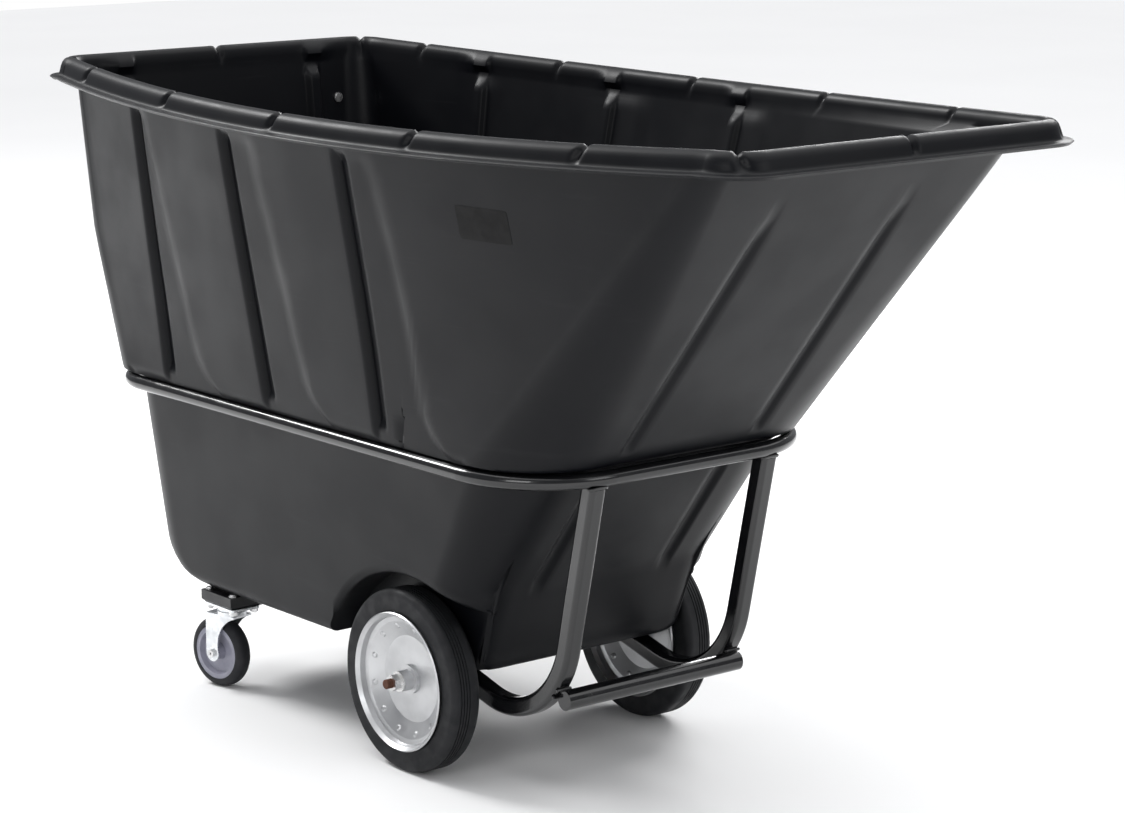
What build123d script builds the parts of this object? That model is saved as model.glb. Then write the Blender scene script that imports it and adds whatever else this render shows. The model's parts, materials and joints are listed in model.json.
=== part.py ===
"""Tilt truck: a moulded tub on a tube frame, with two fixed main wheels and two swivel casters.

Frame: millimetres, +Z up, floor at Z = 0, +X towards the sloped dump end, Y = 0 the plane of
symmetry.  The origin is on the floor under the middle of the overall length.  "right" is -Y.
"""
import math
import os
from dataclasses import dataclass, replace

from build123d import *

# ---------------------------------------------------------------- overall sizes
overall_length = 1859.0
rim_height = 1104.0
rim_half_width = 431.5
axle_from_rear_tip = 962.0
rear_tip_x = -overall_length / 2
front_tip_x = overall_length / 2
axle_x = rear_tip_x + axle_from_rear_tip

# ---------------------------------------------------------------- tub
wall = 6.0
roll_inside = 14.0
roll_outside = 16.0
roll_round = 11.0
flange_reach = 37.0
flange_thickness = 7.5
flange_drop = 38.0
rim_end_half_rear = 329.0
rim_end_half_front = 325.0
rim_corner = 48.0
belt_rear_x = axle_x - 816.0
belt_front_x = axle_x + 383.5
belt_half_width = 322.0
belt_corner_rear = 92.0
belt_corner_front = 150.0
belt_inset_side = 20.0
shoulder_height = 800.0
shoulder_rear_x = axle_x - 888.0
dump_roll_width = 67.5
lower_belt_rear_x = axle_x - 790.0
lower_belt_front_x = axle_x + 359.5
toe_rise = 144.0
toe_front_x = axle_x + 187.5
floor_half_width = 262.0
floor_edge_round = 25.0
floor_front_x = axle_x + 139.5
floor_rear_x = axle_x - 665.0
heel_rise = 78.0
heel_rear_x = axle_x - 775.0
lower_corner_rear = 100.0
lower_corner_front = 132.0
floor_corner_front = 80.0
arch_clearance = 115.2
arch_center_forward = 20.0
arch_center_drop = 86.4
arch_inner_y = 208.0
side_channel_count = 3
side_channel_first_head_x = axle_x - 604.0
side_channel_head_pitch = 329.5
side_channel_first_foot_x = axle_x - 596.0
side_channel_foot_pitch = 309.5
channel_width = 30.0
channel_depth = 11.0
channel_foot_height = 604.0
channel_head_height = 1040.0
rear_channel_y = 200.0
dump_groove_y = 134.0
dump_groove_width = 22.0
dump_groove_depth = 7.0
dump_groove_top = 968.0
dump_groove_belt_gap = 32.0
rear_wall_bolt_y = 255.0
rear_wall_bolt_height = 993.0
rear_wall_bolt_radius = 4.0
rear_wall_bolt_tail = 9.0
rear_wall_washer_radius = 9.0
rear_wall_washer_thickness = 3.0
rear_wall_dome_radius = 6.5
rear_wall_dome_height = 1.5

# ---------------------------------------------------------------- label on the right side
label_length = 105.0
label_height = 53.0
label_thickness = 1.2
label_x = axle_x + 356.5
label_z = 952.0
label_gap = 0.4

# ---------------------------------------------------------------- frame
hoop_diameter = 25.4
hoop_wall = 2.0
hoop_gap = 0.3
hoop_height = 545.0
hoop_rear_x = axle_x - 814.0
hoop_front_x = axle_x + 391.0
hoop_half_width = 315.0
hoop_corner_rear = 110.0
hoop_corner_front = 165.0
leg_size = 31.0
leg_wall = 2.5
leg_corner = 8.0
leg_y = 178.0
leg_lean = 12.4
leg_rise = 14.8
leg_bend_radius = 160.0
leg_top_x = axle_x + 380.5
bumper_diameter = 32.0
bumper_wall = 2.5
bumper_half_length = 182.0
bumper_height = 176.0
bumper_cap_thickness = 2.5
weld_gap = 0.1
beam_depth = 50.0
beam_height = 23.66
beam_wall = 3.0
beam_half_length = 200.0
beam_bolt_y = 130.0
beam_bolt_offset = 17.0
beam_bolt_radius = 4.0

# ---------------------------------------------------------------- main wheels
wheel_radius = 152.4
wheel_center_y = 247.0
tyre_width = 54.0
tyre_shoulder = 12.0
tyre_groove_depth = 1.6
tyre_groove_width = 2.2
tyre_groove_pitch = 5.5
tyre_groove_count = 4
rim_flange_radius = wheel_radius - 36.7
rim_flange_reach = 33.0
rim_seat_radius = wheel_radius - 44.4
rim_seat_reach = 24.0
rim_well_radius = wheel_radius - 52.4
disc_flat_radius = wheel_radius - 80.4
disc_thickness = 2.0
dimple_count = 12
dimple_radius = 6.0
dimple_circle_radius = wheel_radius - 62.4
hub_radius = 17.0
hub_bore_radius = 12.0
seat_gap = 0.05
hub_half_length = 25.0
hub_collar_radius = 24.0
hub_collar_reach = 8.0
bush_length = 18.0
axle_radius = 7.94
running_clearance = 0.05
side_play = 0.4
axle_washer_radius = 17.0
axle_washer_thickness = 3.0
axle_nut_flats = 24.0
axle_nut_height = 14.0
axle_overhang = 12.0
axle_spacer_radius = 11.0

# ---------------------------------------------------------------- casters
caster_wheel_radius = 63.5
caster_wheel_width = 31.0
caster_tread_shoulder = 13.0
caster_core_radius = 48.5
caster_core_rim = 8.0
caster_core_web = 5.0
caster_hub_radius = 13.0
caster_x = axle_x - 570.5
caster_y = 222.0
caster_swivel_angle = 12.0
caster_trail = 29.0
plate_length = 92.0
plate_width = 60.0
plate_thickness = 4.0
plate_bolt_spacing_x = 73.0
plate_bolt_spacing_y = 44.5
plate_bolt_radius = 4.0
plate_bolt_head_radius = 8.0
plate_bolt_head_height = 4.5
block_height = 28.4
block_length = 94.0
block_outer_y = 256.0
block_inner_y = 166.0
block_ledge_width = 21.0
block_ledge_drop = 6.0
block_chamfer = 5.0
race_radius = 27.0
race_height = 7.0
race_gap = 0.4
kingpin_radius = 5.0
kingpin_head_radius = 9.0
kingpin_head_height = 4.0
crown_thickness = 3.5
fork_thickness = 3.0
fork_inner_half = 20.0
fork_tail = 15.0
fork_nose = 25.0
caster_axle_radius = 4.0
caster_sleeve_radius = 6.5
small_nut_flats = 13.0
small_nut_height = 6.5
bolt_hole_gap = 0.3

# ---------------------------------------------------------------- heights that follow the wheels
beam_low = wheel_radius + axle_radius
floor_height = beam_low + beam_height
toe_height = floor_height + toe_rise
heel_height = floor_height + heel_rise
arch_radius = wheel_radius + arch_clearance
arch_center_height = wheel_radius - arch_center_drop
plate_top = floor_height - block_height

SIDES = {"right": -1, "left": 1}


# ================================================================ helpers
def write(node, shape):
    """Write one node as parts/NODE.step."""
    export_step(shape, f"parts/{node}.step")


def group(shapes):
    """Keep separate solids together in one compound."""
    return Compound(children=list(shapes))


def round_bar(start, direction, length, radius):
    """A solid round bar from start along direction."""
    return Plane(origin=start, z_dir=direction) * extrude(Circle(radius), length)


def tube(start, direction, length, outer, inner):
    """A straight round tube from start along direction."""
    return Plane(origin=start, z_dir=direction) * extrude(Circle(outer) - Circle(inner), length)


def hex_nut(start, direction, flats, height, bore):
    """A plain hexagon nut from start along direction."""
    section = RegularPolygon(flats / 2, 6, major_radius=False) - Circle(bore)
    return Plane(origin=start, z_dir=direction) * extrude(section, height)


def turned(profile):
    """Revolve a closed outline of (radius, reach) points; reach runs along +Y from the origin."""
    points = [(radius, reach) for radius, reach in profile]
    return revolve(make_face(Polyline(*points, close=True)), Axis.Y)


# ================================================================ tub
@dataclass
class Level:
    """A horizontal outline of the tub: rounded corners and bowed sides."""

    height: float
    rear_x: float
    front_x: float
    half_rear: float
    half_middle: float
    half_front: float
    corner_rear: float
    corner_front: float

    def flank(self, side, grow=0.0):
        """The long bowed edge of one side, from the rear corner to the front corner."""
        start_x = self.rear_x + max(self.corner_rear, 1.0 - grow)
        end_x = self.front_x - max(self.corner_front, 1.0 - grow)
        start = (start_x, side * (self.half_rear + grow))
        end = (end_x, side * (self.half_front + grow))
        middle = ((start_x + end_x) / 2, side * (self.half_middle + grow))
        if self.half_middle - (self.half_rear + self.half_front) / 2 > 0.5:
            return ThreePointArc(start, middle, end)
        return Line(start, end)

    def face(self, grow=0.0):
        """The outline as a face, grown outwards by grow."""
        rear = self.rear_x - grow
        front = self.front_x + grow
        short = 1 - math.sqrt(0.5)
        edges = []
        for side in (-1, 1):
            flank = self.flank(side, grow)
            rear_end = flank @ 0
            front_start = flank @ 1
            round_rear = rear_end.X - rear
            round_front = front - front_start.X
            rear_start = (rear, rear_end.Y - side * round_rear)
            front_end = (front, front_start.Y - side * round_front)
            rear_middle = (rear + short * round_rear, rear_end.Y - side * short * round_rear)
            front_middle = (front - short * round_front, front_start.Y - side * short * round_front)
            half = [ThreePointArc(rear_start, rear_middle, rear_end), flank,
                    ThreePointArc(front_start, front_middle, front_end)]
            if side == -1:
                edges += half
                edges.append(Line(front_end, (front, -front_end[1])))
            else:
                edges += half[::-1]
                edges.append(Line(rear_start, (rear, -rear_start[1])))
        outline = Wire([item.edge() for item in edges])
        return Pos(0, 0, self.height) * Face(outline)


def loft_levels(levels_and_growth):
    """A ruled solid through (level, grow) pairs from the bottom up."""
    return loft([level.face(grow) for level, grow in levels_and_growth], ruled=True)


wall_face_inset = roll_inside - wall
flange_low = rim_height - flange_drop
crest = Level(rim_height, rear_tip_x + flange_reach, front_tip_x - flange_reach, rim_end_half_rear,
              rim_half_width, rim_end_half_front, rim_corner, rim_corner)
belt_height = hoop_height + hoop_diameter / 2 + hoop_gap
belt = Level(belt_height, belt_rear_x, belt_front_x, belt_half_width, belt_half_width, belt_half_width,
             belt_corner_rear, belt_corner_front)


def between(low, high, height, **changes):
    """The level at a height on the straight flanks between two levels."""
    share = (height - low.height) / (high.height - low.height)
    values = {name: value + share * (getattr(high, name) - value) for name, value in vars(low).items()}
    values["height"] = height
    values.update(changes)
    return Level(**values)


wall_top = replace(crest, height=flange_low, rear_x=crest.rear_x + wall_face_inset,
                   front_x=crest.front_x - dump_roll_width,
                   half_rear=crest.half_rear - wall_face_inset,
                   half_middle=crest.half_middle - wall_face_inset,
                   half_front=crest.half_front - wall_face_inset)
shoulder = between(belt, wall_top, shoulder_height, rear_x=shoulder_rear_x)
lower_belt = Level(belt_height, lower_belt_rear_x, lower_belt_front_x, belt_half_width - belt_inset_side,
                   belt_half_width - belt_inset_side, belt_half_width - belt_inset_side,
                   lower_corner_rear, lower_corner_front)
lower_edge = Level(floor_height + floor_edge_round, floor_rear_x, floor_front_x, floor_half_width,
                   floor_half_width, floor_half_width, lower_corner_rear, floor_corner_front)
heel_share = (heel_height - lower_edge.height) / (toe_height - lower_edge.height)
heel = between(lower_edge, lower_belt, heel_height, rear_x=heel_rear_x,
               front_x=floor_front_x + heel_share * (toe_front_x - floor_front_x))
toe = between(heel, lower_belt, toe_height, front_x=toe_front_x)
heel_run = floor_rear_x - heel_rear_x


def heel_level(share):
    """A level on the rounded heel; share is 0 at the floor and 1 at the top of the round."""
    turn = share * math.pi / 2
    height = floor_height + heel_rise * (1 - math.cos(turn))
    flat = max(height, lower_edge.height)
    base = between(lower_edge, heel, flat)
    round_height = max(lower_edge.height - height, 0.0)
    tuck = floor_edge_round - math.sqrt(floor_edge_round**2 - round_height**2)
    half = base.half_rear - tuck
    return replace(base, height=height, rear_x=floor_rear_x - heel_run * math.sin(turn),
                   half_rear=half, half_middle=half, half_front=half, front_x=base.front_x - tuck / 2)


def upper_body(grow, bottom_rise=0.0):
    """The tub above the belt, up to the underside of the rim."""
    low = between(belt, shoulder, belt_height + bottom_rise)
    return loft_levels([(low, grow), (shoulder, grow), (wall_top, grow)])


def lower_body(grow, bottom_rise=0.0):
    """The tub below the belt, with its rounded heel and floor edge."""
    stations = [heel_level(share) for share in (0.0, 0.3, 0.55, 0.8)]
    if bottom_rise:
        stations[0] = replace(stations[0], height=floor_height + bottom_rise)
    overlap = replace(lower_belt, height=belt_height + wall + 1.0)
    return loft_levels([(level, grow) for level in stations + [heel, toe, lower_belt, overlap]])


def arch_cuts(grow):
    """The round cuts that leave room for the main wheels, one on each side."""
    start = (axle_x + arch_center_forward, arch_inner_y - grow, arch_center_height)
    cutter = round_bar(start, (0, 1, 0), rim_half_width, arch_radius + grow)
    return [cutter, mirror(cutter, Plane.XZ)]


def flank_half_width(x, height):
    """Half width of the outer face of the tub's side above the belt."""
    low, high = (belt, shoulder) if height < shoulder_height else (shoulder, wall_top)
    share = (height - low.height) / (high.height - low.height)
    low_edge = low.flank(1)
    high_edge = high.flank(1)
    near, far = 0.0, 1.0
    for _ in range(30):
        middle = (near + far) / 2
        point = (low_edge @ middle) * (1 - share) + (high_edge @ middle) * share
        if point.X < x:
            near = middle
        else:
            far = middle
    return point.Y


def raised_bar(foot, head, width, depth, across):
    """A straight bar of rectangular section, centred on the line from foot to head."""
    foot = Vector(*foot)
    head = Vector(*head)
    section = RectangleRounded(width, 2 * depth, min(width, 2 * depth) / 4)
    return Plane(origin=foot, z_dir=head - foot, x_dir=across) * extrude(section, (head - foot).length)


def rear_wall_x(height):
    """Outer face of the rear wall at a height above the belt."""
    if height < shoulder_height:
        return between(belt, shoulder, height).rear_x
    return between(shoulder, wall_top, height).rear_x


def dump_face_x(height):
    """Outer face of the dump wall at a height above the belt."""
    return between(belt, wall_top, height).front_x


def channels(grow):
    """The upright channels in the sides and the rear wall, and the two grooves in the dump face."""
    width = channel_width + 2 * grow
    depth = channel_depth + grow
    low = channel_foot_height - grow
    high = channel_head_height + grow
    bars = []
    for index in range(side_channel_count):
        foot_x = side_channel_first_foot_x + index * side_channel_foot_pitch
        head_x = side_channel_first_head_x + index * side_channel_head_pitch
        foot = (foot_x, flank_half_width(foot_x, low), low)
        head = (head_x, flank_half_width(head_x, high), high)
        bars.append(raised_bar(foot, head, width, depth, (1, 0, 0)))
    for start, end in ((low, shoulder_height), (shoulder_height, high)):
        foot = (rear_wall_x(start), rear_channel_y, start)
        head = (rear_wall_x(end), rear_channel_y, end)
        bars.append(raised_bar(foot, head, width, depth, (0, 1, 0)))
    groove_width = dump_groove_width + 2 * grow
    groove_depth = dump_groove_depth + grow
    groove_low = belt_height + dump_groove_belt_gap - grow
    groove_high = dump_groove_top + grow
    upper_foot = (dump_face_x(groove_low), dump_groove_y, groove_low)
    upper_head = (dump_face_x(groove_high), dump_groove_y, groove_high)
    bars.append(raised_bar(upper_foot, upper_head, groove_width, groove_depth, (0, 1, 0)))
    under_low = toe_height - grow
    under_high = belt_height - dump_groove_belt_gap + grow
    lower_foot = (between(toe, lower_belt, under_low).front_x, dump_groove_y, under_low)
    lower_head = (between(toe, lower_belt, under_high).front_x, dump_groove_y, under_high)
    bars.append(raised_bar(lower_foot, lower_head, groove_width, groove_depth, (0, 1, 0)))
    return bars + [mirror(bar, Plane.XZ) for bar in bars]


def crest_level(height, grow):
    """A station of the rim roll: the crest's outline at a height, and how far it is grown."""
    return replace(crest, height=height), grow


def rim_ring():
    """The hollow roll around the mouth and the flat flange below it, without the mouth cut out."""
    soft = roll_round / 4
    roll = loft_levels([crest_level(flange_low, roll_outside),
                        crest_level(rim_height - roll_round, roll_outside),
                        crest_level(rim_height - soft, roll_outside - soft),
                        crest_level(rim_height, roll_outside - roll_round / 2)])
    flange = extrude(replace(crest, height=flange_low).face(flange_reach), flange_thickness)
    core = replace(crest, height=flange_low).face(roll_outside - wall)
    hollow = extrude(core, flange_drop - wall) - extrude(wall_top.face(0.0), flange_drop)
    return roll + flange - hollow


def mouth():
    """The tub's inside, from the belt ledge up through the rounded inner edge of the rim."""
    low = between(belt, shoulder, belt_height + wall)
    soft = roll_round / 4
    return loft_levels([(low, -wall), (shoulder, -wall), (wall_top, -wall),
                        crest_level(rim_height - roll_round, -roll_inside),
                        crest_level(rim_height - soft, soft - roll_inside),
                        crest_level(rim_height, roll_round / 2 - roll_inside),
                        crest_level(rim_height + wall, roll_round / 2 - roll_inside)])


def floor_bolt_places(side):
    """Centres of the bolts that pass through the tub floor on one side."""
    beam = [(axle_x + end * beam_bolt_offset, side * beam_bolt_y) for end in (-1, 1)]
    caster = [(caster_x + end * plate_bolt_spacing_x / 2, side * (caster_y - plate_bolt_spacing_y / 2))
              for end in (-1, 1)]
    return beam + caster


def tub_floor_holes():
    """Clearance holes in the floor for the beam bolts and the inner caster bolts."""
    return [round_bar((x, y, floor_height - 1), (0, 0, 1), wall + 2, beam_bolt_radius + bolt_hole_gap)
            for side in SIDES.values() for x, y in floor_bolt_places(side)]


def rear_bolt_direction():
    """The inward normal of the rear wall above the shoulder."""
    rise = wall_top.height - shoulder_height
    run = wall_top.rear_x - shoulder_rear_x
    return Vector(rise, 0, -run).normalized()


def make_tub():
    """The hollow tub with its belt step, wheel arches, channels and rim."""
    outside = upper_body(0.0) + lower_body(0.0)
    for cutter in arch_cuts(0.0):
        outside -= cutter
    for bar in channels(0.0):
        outside -= bar
    outside += rim_ring()
    inside_low = lower_body(-wall, bottom_rise=wall)
    for cutter in arch_cuts(wall):
        inside_low -= cutter
    inside = mouth() + inside_low
    for bar in channels(wall):
        inside -= bar
    body = outside - inside
    for hole in tub_floor_holes():
        body -= hole
    for side in SIDES.values():
        start = rear_bolt_start(side) - rear_bolt_direction() * wall
        body -= round_bar(start, rear_bolt_direction(), 3 * wall, rear_wall_bolt_radius + bolt_hole_gap)
    return body


def rear_bolt_start(side):
    """The point where one rear wall bolt crosses the wall's outer face."""
    return Vector(rear_wall_x(rear_wall_bolt_height), side * rear_wall_bolt_y, rear_wall_bolt_height)


def make_rear_wall_bolts():
    """A dome-headed bolt near each top corner of the rear wall, with its nut outside."""
    direction = rear_bolt_direction()
    washer_reach = wall + rear_wall_washer_thickness
    bolts = []
    for side in SIDES.values():
        face = rear_bolt_start(side)
        bolt = round_bar(face - direction * rear_wall_bolt_tail, direction, rear_wall_bolt_tail + wall,
                         rear_wall_bolt_radius)
        bolt += round_bar(face + direction * wall, direction, rear_wall_washer_thickness,
                          rear_wall_washer_radius)
        bolt += round_bar(face + direction * washer_reach, direction, rear_wall_dome_height,
                          rear_wall_dome_radius)
        bolt += hex_nut(face, -direction, small_nut_flats, small_nut_height, rear_wall_bolt_radius / 2)
        bolts.append(bolt)
    return group(bolts)


def make_label():
    """A thin blank plate on the right side's large smooth panel."""
    y = -flank_half_width(label_x, label_z)
    step = 1.0
    lean = math.atan(flank_half_width(label_x, label_z + step) - flank_half_width(label_x, label_z))
    turn = math.atan(flank_half_width(label_x + step, label_z) - flank_half_width(label_x, label_z))
    plate = Box(label_length, label_thickness, label_height)
    plate = fillet(plate.edges().filter_by(Axis.Y), 4.0)
    plate = Rot(math.degrees(lean), 0, 0) * plate
    plate = Rot(0, 0, -math.degrees(turn)) * plate
    return Pos(label_x, y - label_thickness / 2 - label_gap, label_z) * plate


# ================================================================ frame
def make_hoop():
    """The bent tube that carries the tub under its belt."""
    line = Level(hoop_height, hoop_rear_x, hoop_front_x, hoop_half_width, hoop_half_width,
                 hoop_half_width, hoop_corner_rear, hoop_corner_front)
    ring = Circle(hoop_diameter / 2) - Circle(hoop_diameter / 2 - hoop_wall)
    pieces = []
    for edge in line.face().outer_wire().edges():
        plane = Plane(origin=edge @ 0, z_dir=edge % 0)
        pieces.append(sweep(plane * ring, path=edge))
    return pieces[0].fuse(*pieces[1:]).clean()


def leg_path():
    """The leg's centre line: down from the hoop, round the bend and up to the axle beam."""
    top_height = hoop_height - hoop_diameter / 2
    lean = math.tan(math.radians(leg_lean))
    rise = math.tan(math.radians(leg_rise))
    end_x = axle_x + beam_depth / 2
    end_height = floor_height - leg_size / 2 / math.cos(math.radians(leg_rise)) - hoop_gap
    corner_height = (end_height - rise * (leg_top_x - lean * top_height - end_x)) / (1 + rise * lean)
    corner_x = leg_top_x - lean * (top_height - corner_height)
    past = beam_depth / 4
    return FilletPolyline((leg_top_x, 0, top_height), (corner_x, 0, corner_height),
                          (end_x - past, 0, end_height + past * rise), radius=leg_bend_radius)


def make_leg(side):
    """A bent square tube from the hoop to the axle beam."""
    path = (Pos(0, side * leg_y, 0) * leg_path()).wire()
    start = Plane(origin=path @ 0, z_dir=path % 0, x_dir=(0, 1, 0))
    outer = RectangleRounded(leg_size, leg_size, leg_corner)
    inner = RectangleRounded(leg_size - 2 * leg_wall, leg_size - 2 * leg_wall, leg_corner - leg_wall)
    leg = sweep(start * (outer - inner), path=path)
    notch = round_bar((hoop_front_x, -hoop_half_width, hoop_height), (0, 1, 0), 2 * hoop_half_width,
                      hoop_diameter / 2 + weld_gap)
    behind = Pos(axle_x, side * leg_y, floor_height) * Box(beam_depth, 2 * leg_size, 4 * leg_size)
    return leg - notch - behind


def bumper_center():
    """Where the bumper bar rests on the front of the legs' bend: its x and height."""
    bend = leg_path().edges().filter_by(GeomType.CIRCLE)[0]
    reach = leg_bend_radius + (leg_size + bumper_diameter) / 2 + weld_gap
    drop = bend.arc_center.Z - bumper_height
    return bend.arc_center.X + math.sqrt(reach**2 - drop**2), bumper_height


def make_bumper_bar():
    """The round tube across the front of the legs."""
    x, height = bumper_center()
    half = bumper_half_length - bumper_cap_thickness
    return tube((x, -half, height), (0, 1, 0), 2 * half, bumper_diameter / 2,
                bumper_diameter / 2 - bumper_wall)


def make_bumper_caps():
    """The discs that close the bumper bar's ends."""
    x, height = bumper_center()
    caps = []
    for side in SIDES.values():
        start = (x, side * (bumper_half_length - bumper_cap_thickness), height)
        caps.append(round_bar(start, (0, side, 0), bumper_cap_thickness, bumper_diameter / 2))
    return group(caps)


def make_axle_beam():
    """The rectangular tube under the floor that the axle is welded to."""
    outer = Rectangle(beam_depth, beam_height)
    inner = Rectangle(beam_depth - 2 * beam_wall, beam_height - 2 * beam_wall)
    plane = Plane(origin=(axle_x, -beam_half_length, beam_low + beam_height / 2), z_dir=(0, 1, 0),
                  x_dir=(1, 0, 0))
    beam = plane * extrude(outer - inner, 2 * beam_half_length)
    for side in SIDES.values():
        for x, y in floor_bolt_places(side)[:2]:
            beam -= round_bar((x, y, beam_low - 1), (0, 0, 1), beam_height + 2,
                              beam_bolt_radius + bolt_hole_gap)
    return beam


def dome_bolt(x, y, head_height, tip_height, radius, head_radius, head_thickness):
    """An upright round-headed bolt with its head resting at head_height."""
    shank = round_bar((x, y, tip_height), (0, 0, 1), head_height - tip_height, radius)
    brim = round_bar((x, y, head_height), (0, 0, 1), head_thickness / 2, head_radius)
    crown = round_bar((x, y, head_height), (0, 0, 1), head_thickness, 0.7 * head_radius)
    return shank + brim + crown


def make_beam_bolts():
    """Four round-headed bolts down through the tub floor and the beam."""
    tip = beam_low - small_nut_height - 2.0
    return group(dome_bolt(x, y, floor_height + wall, tip, beam_bolt_radius, plate_bolt_head_radius,
                           plate_bolt_head_height)
                 for side in SIDES.values() for x, y in floor_bolt_places(side)[:2])


def make_beam_nuts():
    """The nuts under the beam."""
    return group(hex_nut((x, y, beam_low), (0, 0, -1), small_nut_flats, small_nut_height,
                         beam_bolt_radius + seat_gap)
                 for side in SIDES.values() for x, y in floor_bolt_places(side)[:2])


# ================================================================ axle and main wheels
hub_end_y = wheel_center_y + hub_half_length + side_play
hub_start_y = wheel_center_y - hub_half_length - side_play
axle_half_length = hub_end_y + axle_washer_thickness + axle_nut_height + axle_overhang


def make_axle():
    """The fixed axle across both main wheels, with chamfered ends."""
    axle = round_bar((axle_x, -axle_half_length, wheel_radius), (0, 1, 0), 2 * axle_half_length, axle_radius)
    return chamfer(axle.edges().filter_by(GeomType.CIRCLE), 1.2)


def make_axle_spacers():
    """The sleeves between the beam's ends and the inner washers."""
    length = hub_start_y - axle_washer_thickness - beam_half_length
    return group(tube((axle_x, side * beam_half_length, wheel_radius), (0, side, 0), length,
                      axle_spacer_radius, axle_radius + seat_gap) for side in SIDES.values())


def make_axle_washers():
    """The flat washers on both faces of each hub."""
    washers = []
    for side in SIDES.values():
        for y in (hub_start_y - axle_washer_thickness, hub_end_y):
            washers.append(tube((axle_x, side * y, wheel_radius), (0, side, 0), axle_washer_thickness,
                                axle_washer_radius, axle_radius + seat_gap))
    return group(washers)


def make_axle_nuts():
    """The nuts on the axle's ends."""
    start = hub_end_y + axle_washer_thickness
    return group(hex_nut((axle_x, side * start, wheel_radius), (0, side, 0), axle_nut_flats,
                         axle_nut_height, axle_radius + seat_gap) for side in SIDES.values())


def at_wheel(shape, side):
    """Put a shape that is turned about the Y axis, outer face towards +Y, on one main wheel."""
    placed = Pos(axle_x, wheel_center_y, wheel_radius) * shape
    return placed if side > 0 else mirror(placed, Plane.XZ)


def make_tyre():
    """The cushion tyre, with fine grooves near its outer shoulder."""
    half = tyre_width / 2
    seat = rim_seat_radius + disc_thickness + seat_gap
    profile = make_face(Polyline((seat, half - 4.0, 0), (rim_flange_radius + 1.5, half, 0),
                                 (wheel_radius, half, 0), (wheel_radius, -half, 0),
                                 (rim_flange_radius + 1.5, -half, 0), (seat, 4.0 - half, 0), close=True))
    shoulders = profile.vertices().group_by(Axis.X)[-1]
    tyre = revolve(fillet(shoulders, tyre_shoulder), Axis.Y)
    for index in range(tyre_groove_count):
        reach = half - tyre_shoulder - index * tyre_groove_pitch
        low = wheel_radius - tyre_groove_depth
        high = wheel_radius + 1.0
        near = reach - tyre_groove_width
        tyre -= turned([(low, near), (high, near), (high, reach), (low, reach)])
    return tyre


def make_disc(outward):
    """One pressed half of the wheel: flat centre, sloped wall, tyre seat and curled flange."""
    seat = rim_seat_radius
    thick = disc_thickness
    visible = [(hub_radius + seat_gap, thick), (disc_flat_radius, thick),
               (rim_well_radius - thick, rim_seat_reach - 6.0 - thick), (seat - thick, rim_seat_reach - 6.0),
               (seat, rim_seat_reach + 3.0), (rim_flange_radius - 2.0, rim_flange_reach),
               (rim_flange_radius, rim_flange_reach - thick)]
    hidden = [(rim_flange_radius - thick, rim_flange_reach - 1.5 * thick), (seat + thick, rim_seat_reach),
              (seat + thick, rim_seat_reach - 6.0 - thick),
              (rim_well_radius, rim_seat_reach - 6.0 - 2 * thick), (disc_flat_radius + thick, 0.0),
              (hub_radius + seat_gap, 0.0)]
    disc = turned(visible + hidden)
    rise = rim_seat_reach - 6.0 - 2 * thick
    run = rim_well_radius - thick - disc_flat_radius
    share = (dimple_circle_radius - disc_flat_radius) / run
    for index in range(dimple_count):
        angle = 2 * math.pi * (index + 0.5) / dimple_count
        spoke = Vector(math.cos(angle), 0, math.sin(angle))
        place = spoke * dimple_circle_radius + Vector(0, thick + share * rise - 0.4, 0)
        normal = (Vector(0, run, 0) - spoke * rise).normalized()
        bump = Cone(dimple_radius, dimple_radius / 2, dimple_radius / 3,
                    align=(Align.CENTER, Align.CENTER, Align.MIN))
        disc += Plane(origin=place, z_dir=normal) * bump
    return disc if outward else mirror(disc, Plane.XZ)


def make_hub():
    """The hub tube with a collar against each disc."""
    edge = disc_thickness + seat_gap
    half = [(hub_bore_radius, hub_half_length), (hub_radius, hub_half_length), (hub_radius, hub_collar_reach),
            (hub_collar_radius, hub_collar_reach), (hub_collar_radius, edge), (hub_radius, edge)]
    other = [(radius, -reach) for radius, reach in half[::-1]]
    return turned(half + other)


def make_hub_bushes():
    """The plain bushes pressed into the hub's ends; they run on the axle."""
    inner = axle_radius + running_clearance
    outer = hub_bore_radius - seat_gap
    bushes = []
    for end in (-1, 1):
        start = end * (hub_half_length - bush_length)
        bushes.append(tube((0, start, 0), (0, end, 0), bush_length, outer, inner))
    return bushes


# ================================================================ casters
plate_low = plate_top - plate_thickness
race_high = plate_low - race_height
crown_high = race_high - race_gap - race_height
crown_low = crown_high - crown_thickness
ledge_height = floor_height - block_ledge_drop


def plate_bolt_places(side):
    """Bolt centres of one caster plate: (x, y, height under the head)."""
    places = []
    for end in (-1, 1):
        x = caster_x + end * plate_bolt_spacing_x / 2
        places.append((x, side * (caster_y + plate_bolt_spacing_y / 2), ledge_height))
        places.append((x, side * (caster_y - plate_bolt_spacing_y / 2), floor_height + wall))
    return places


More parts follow.
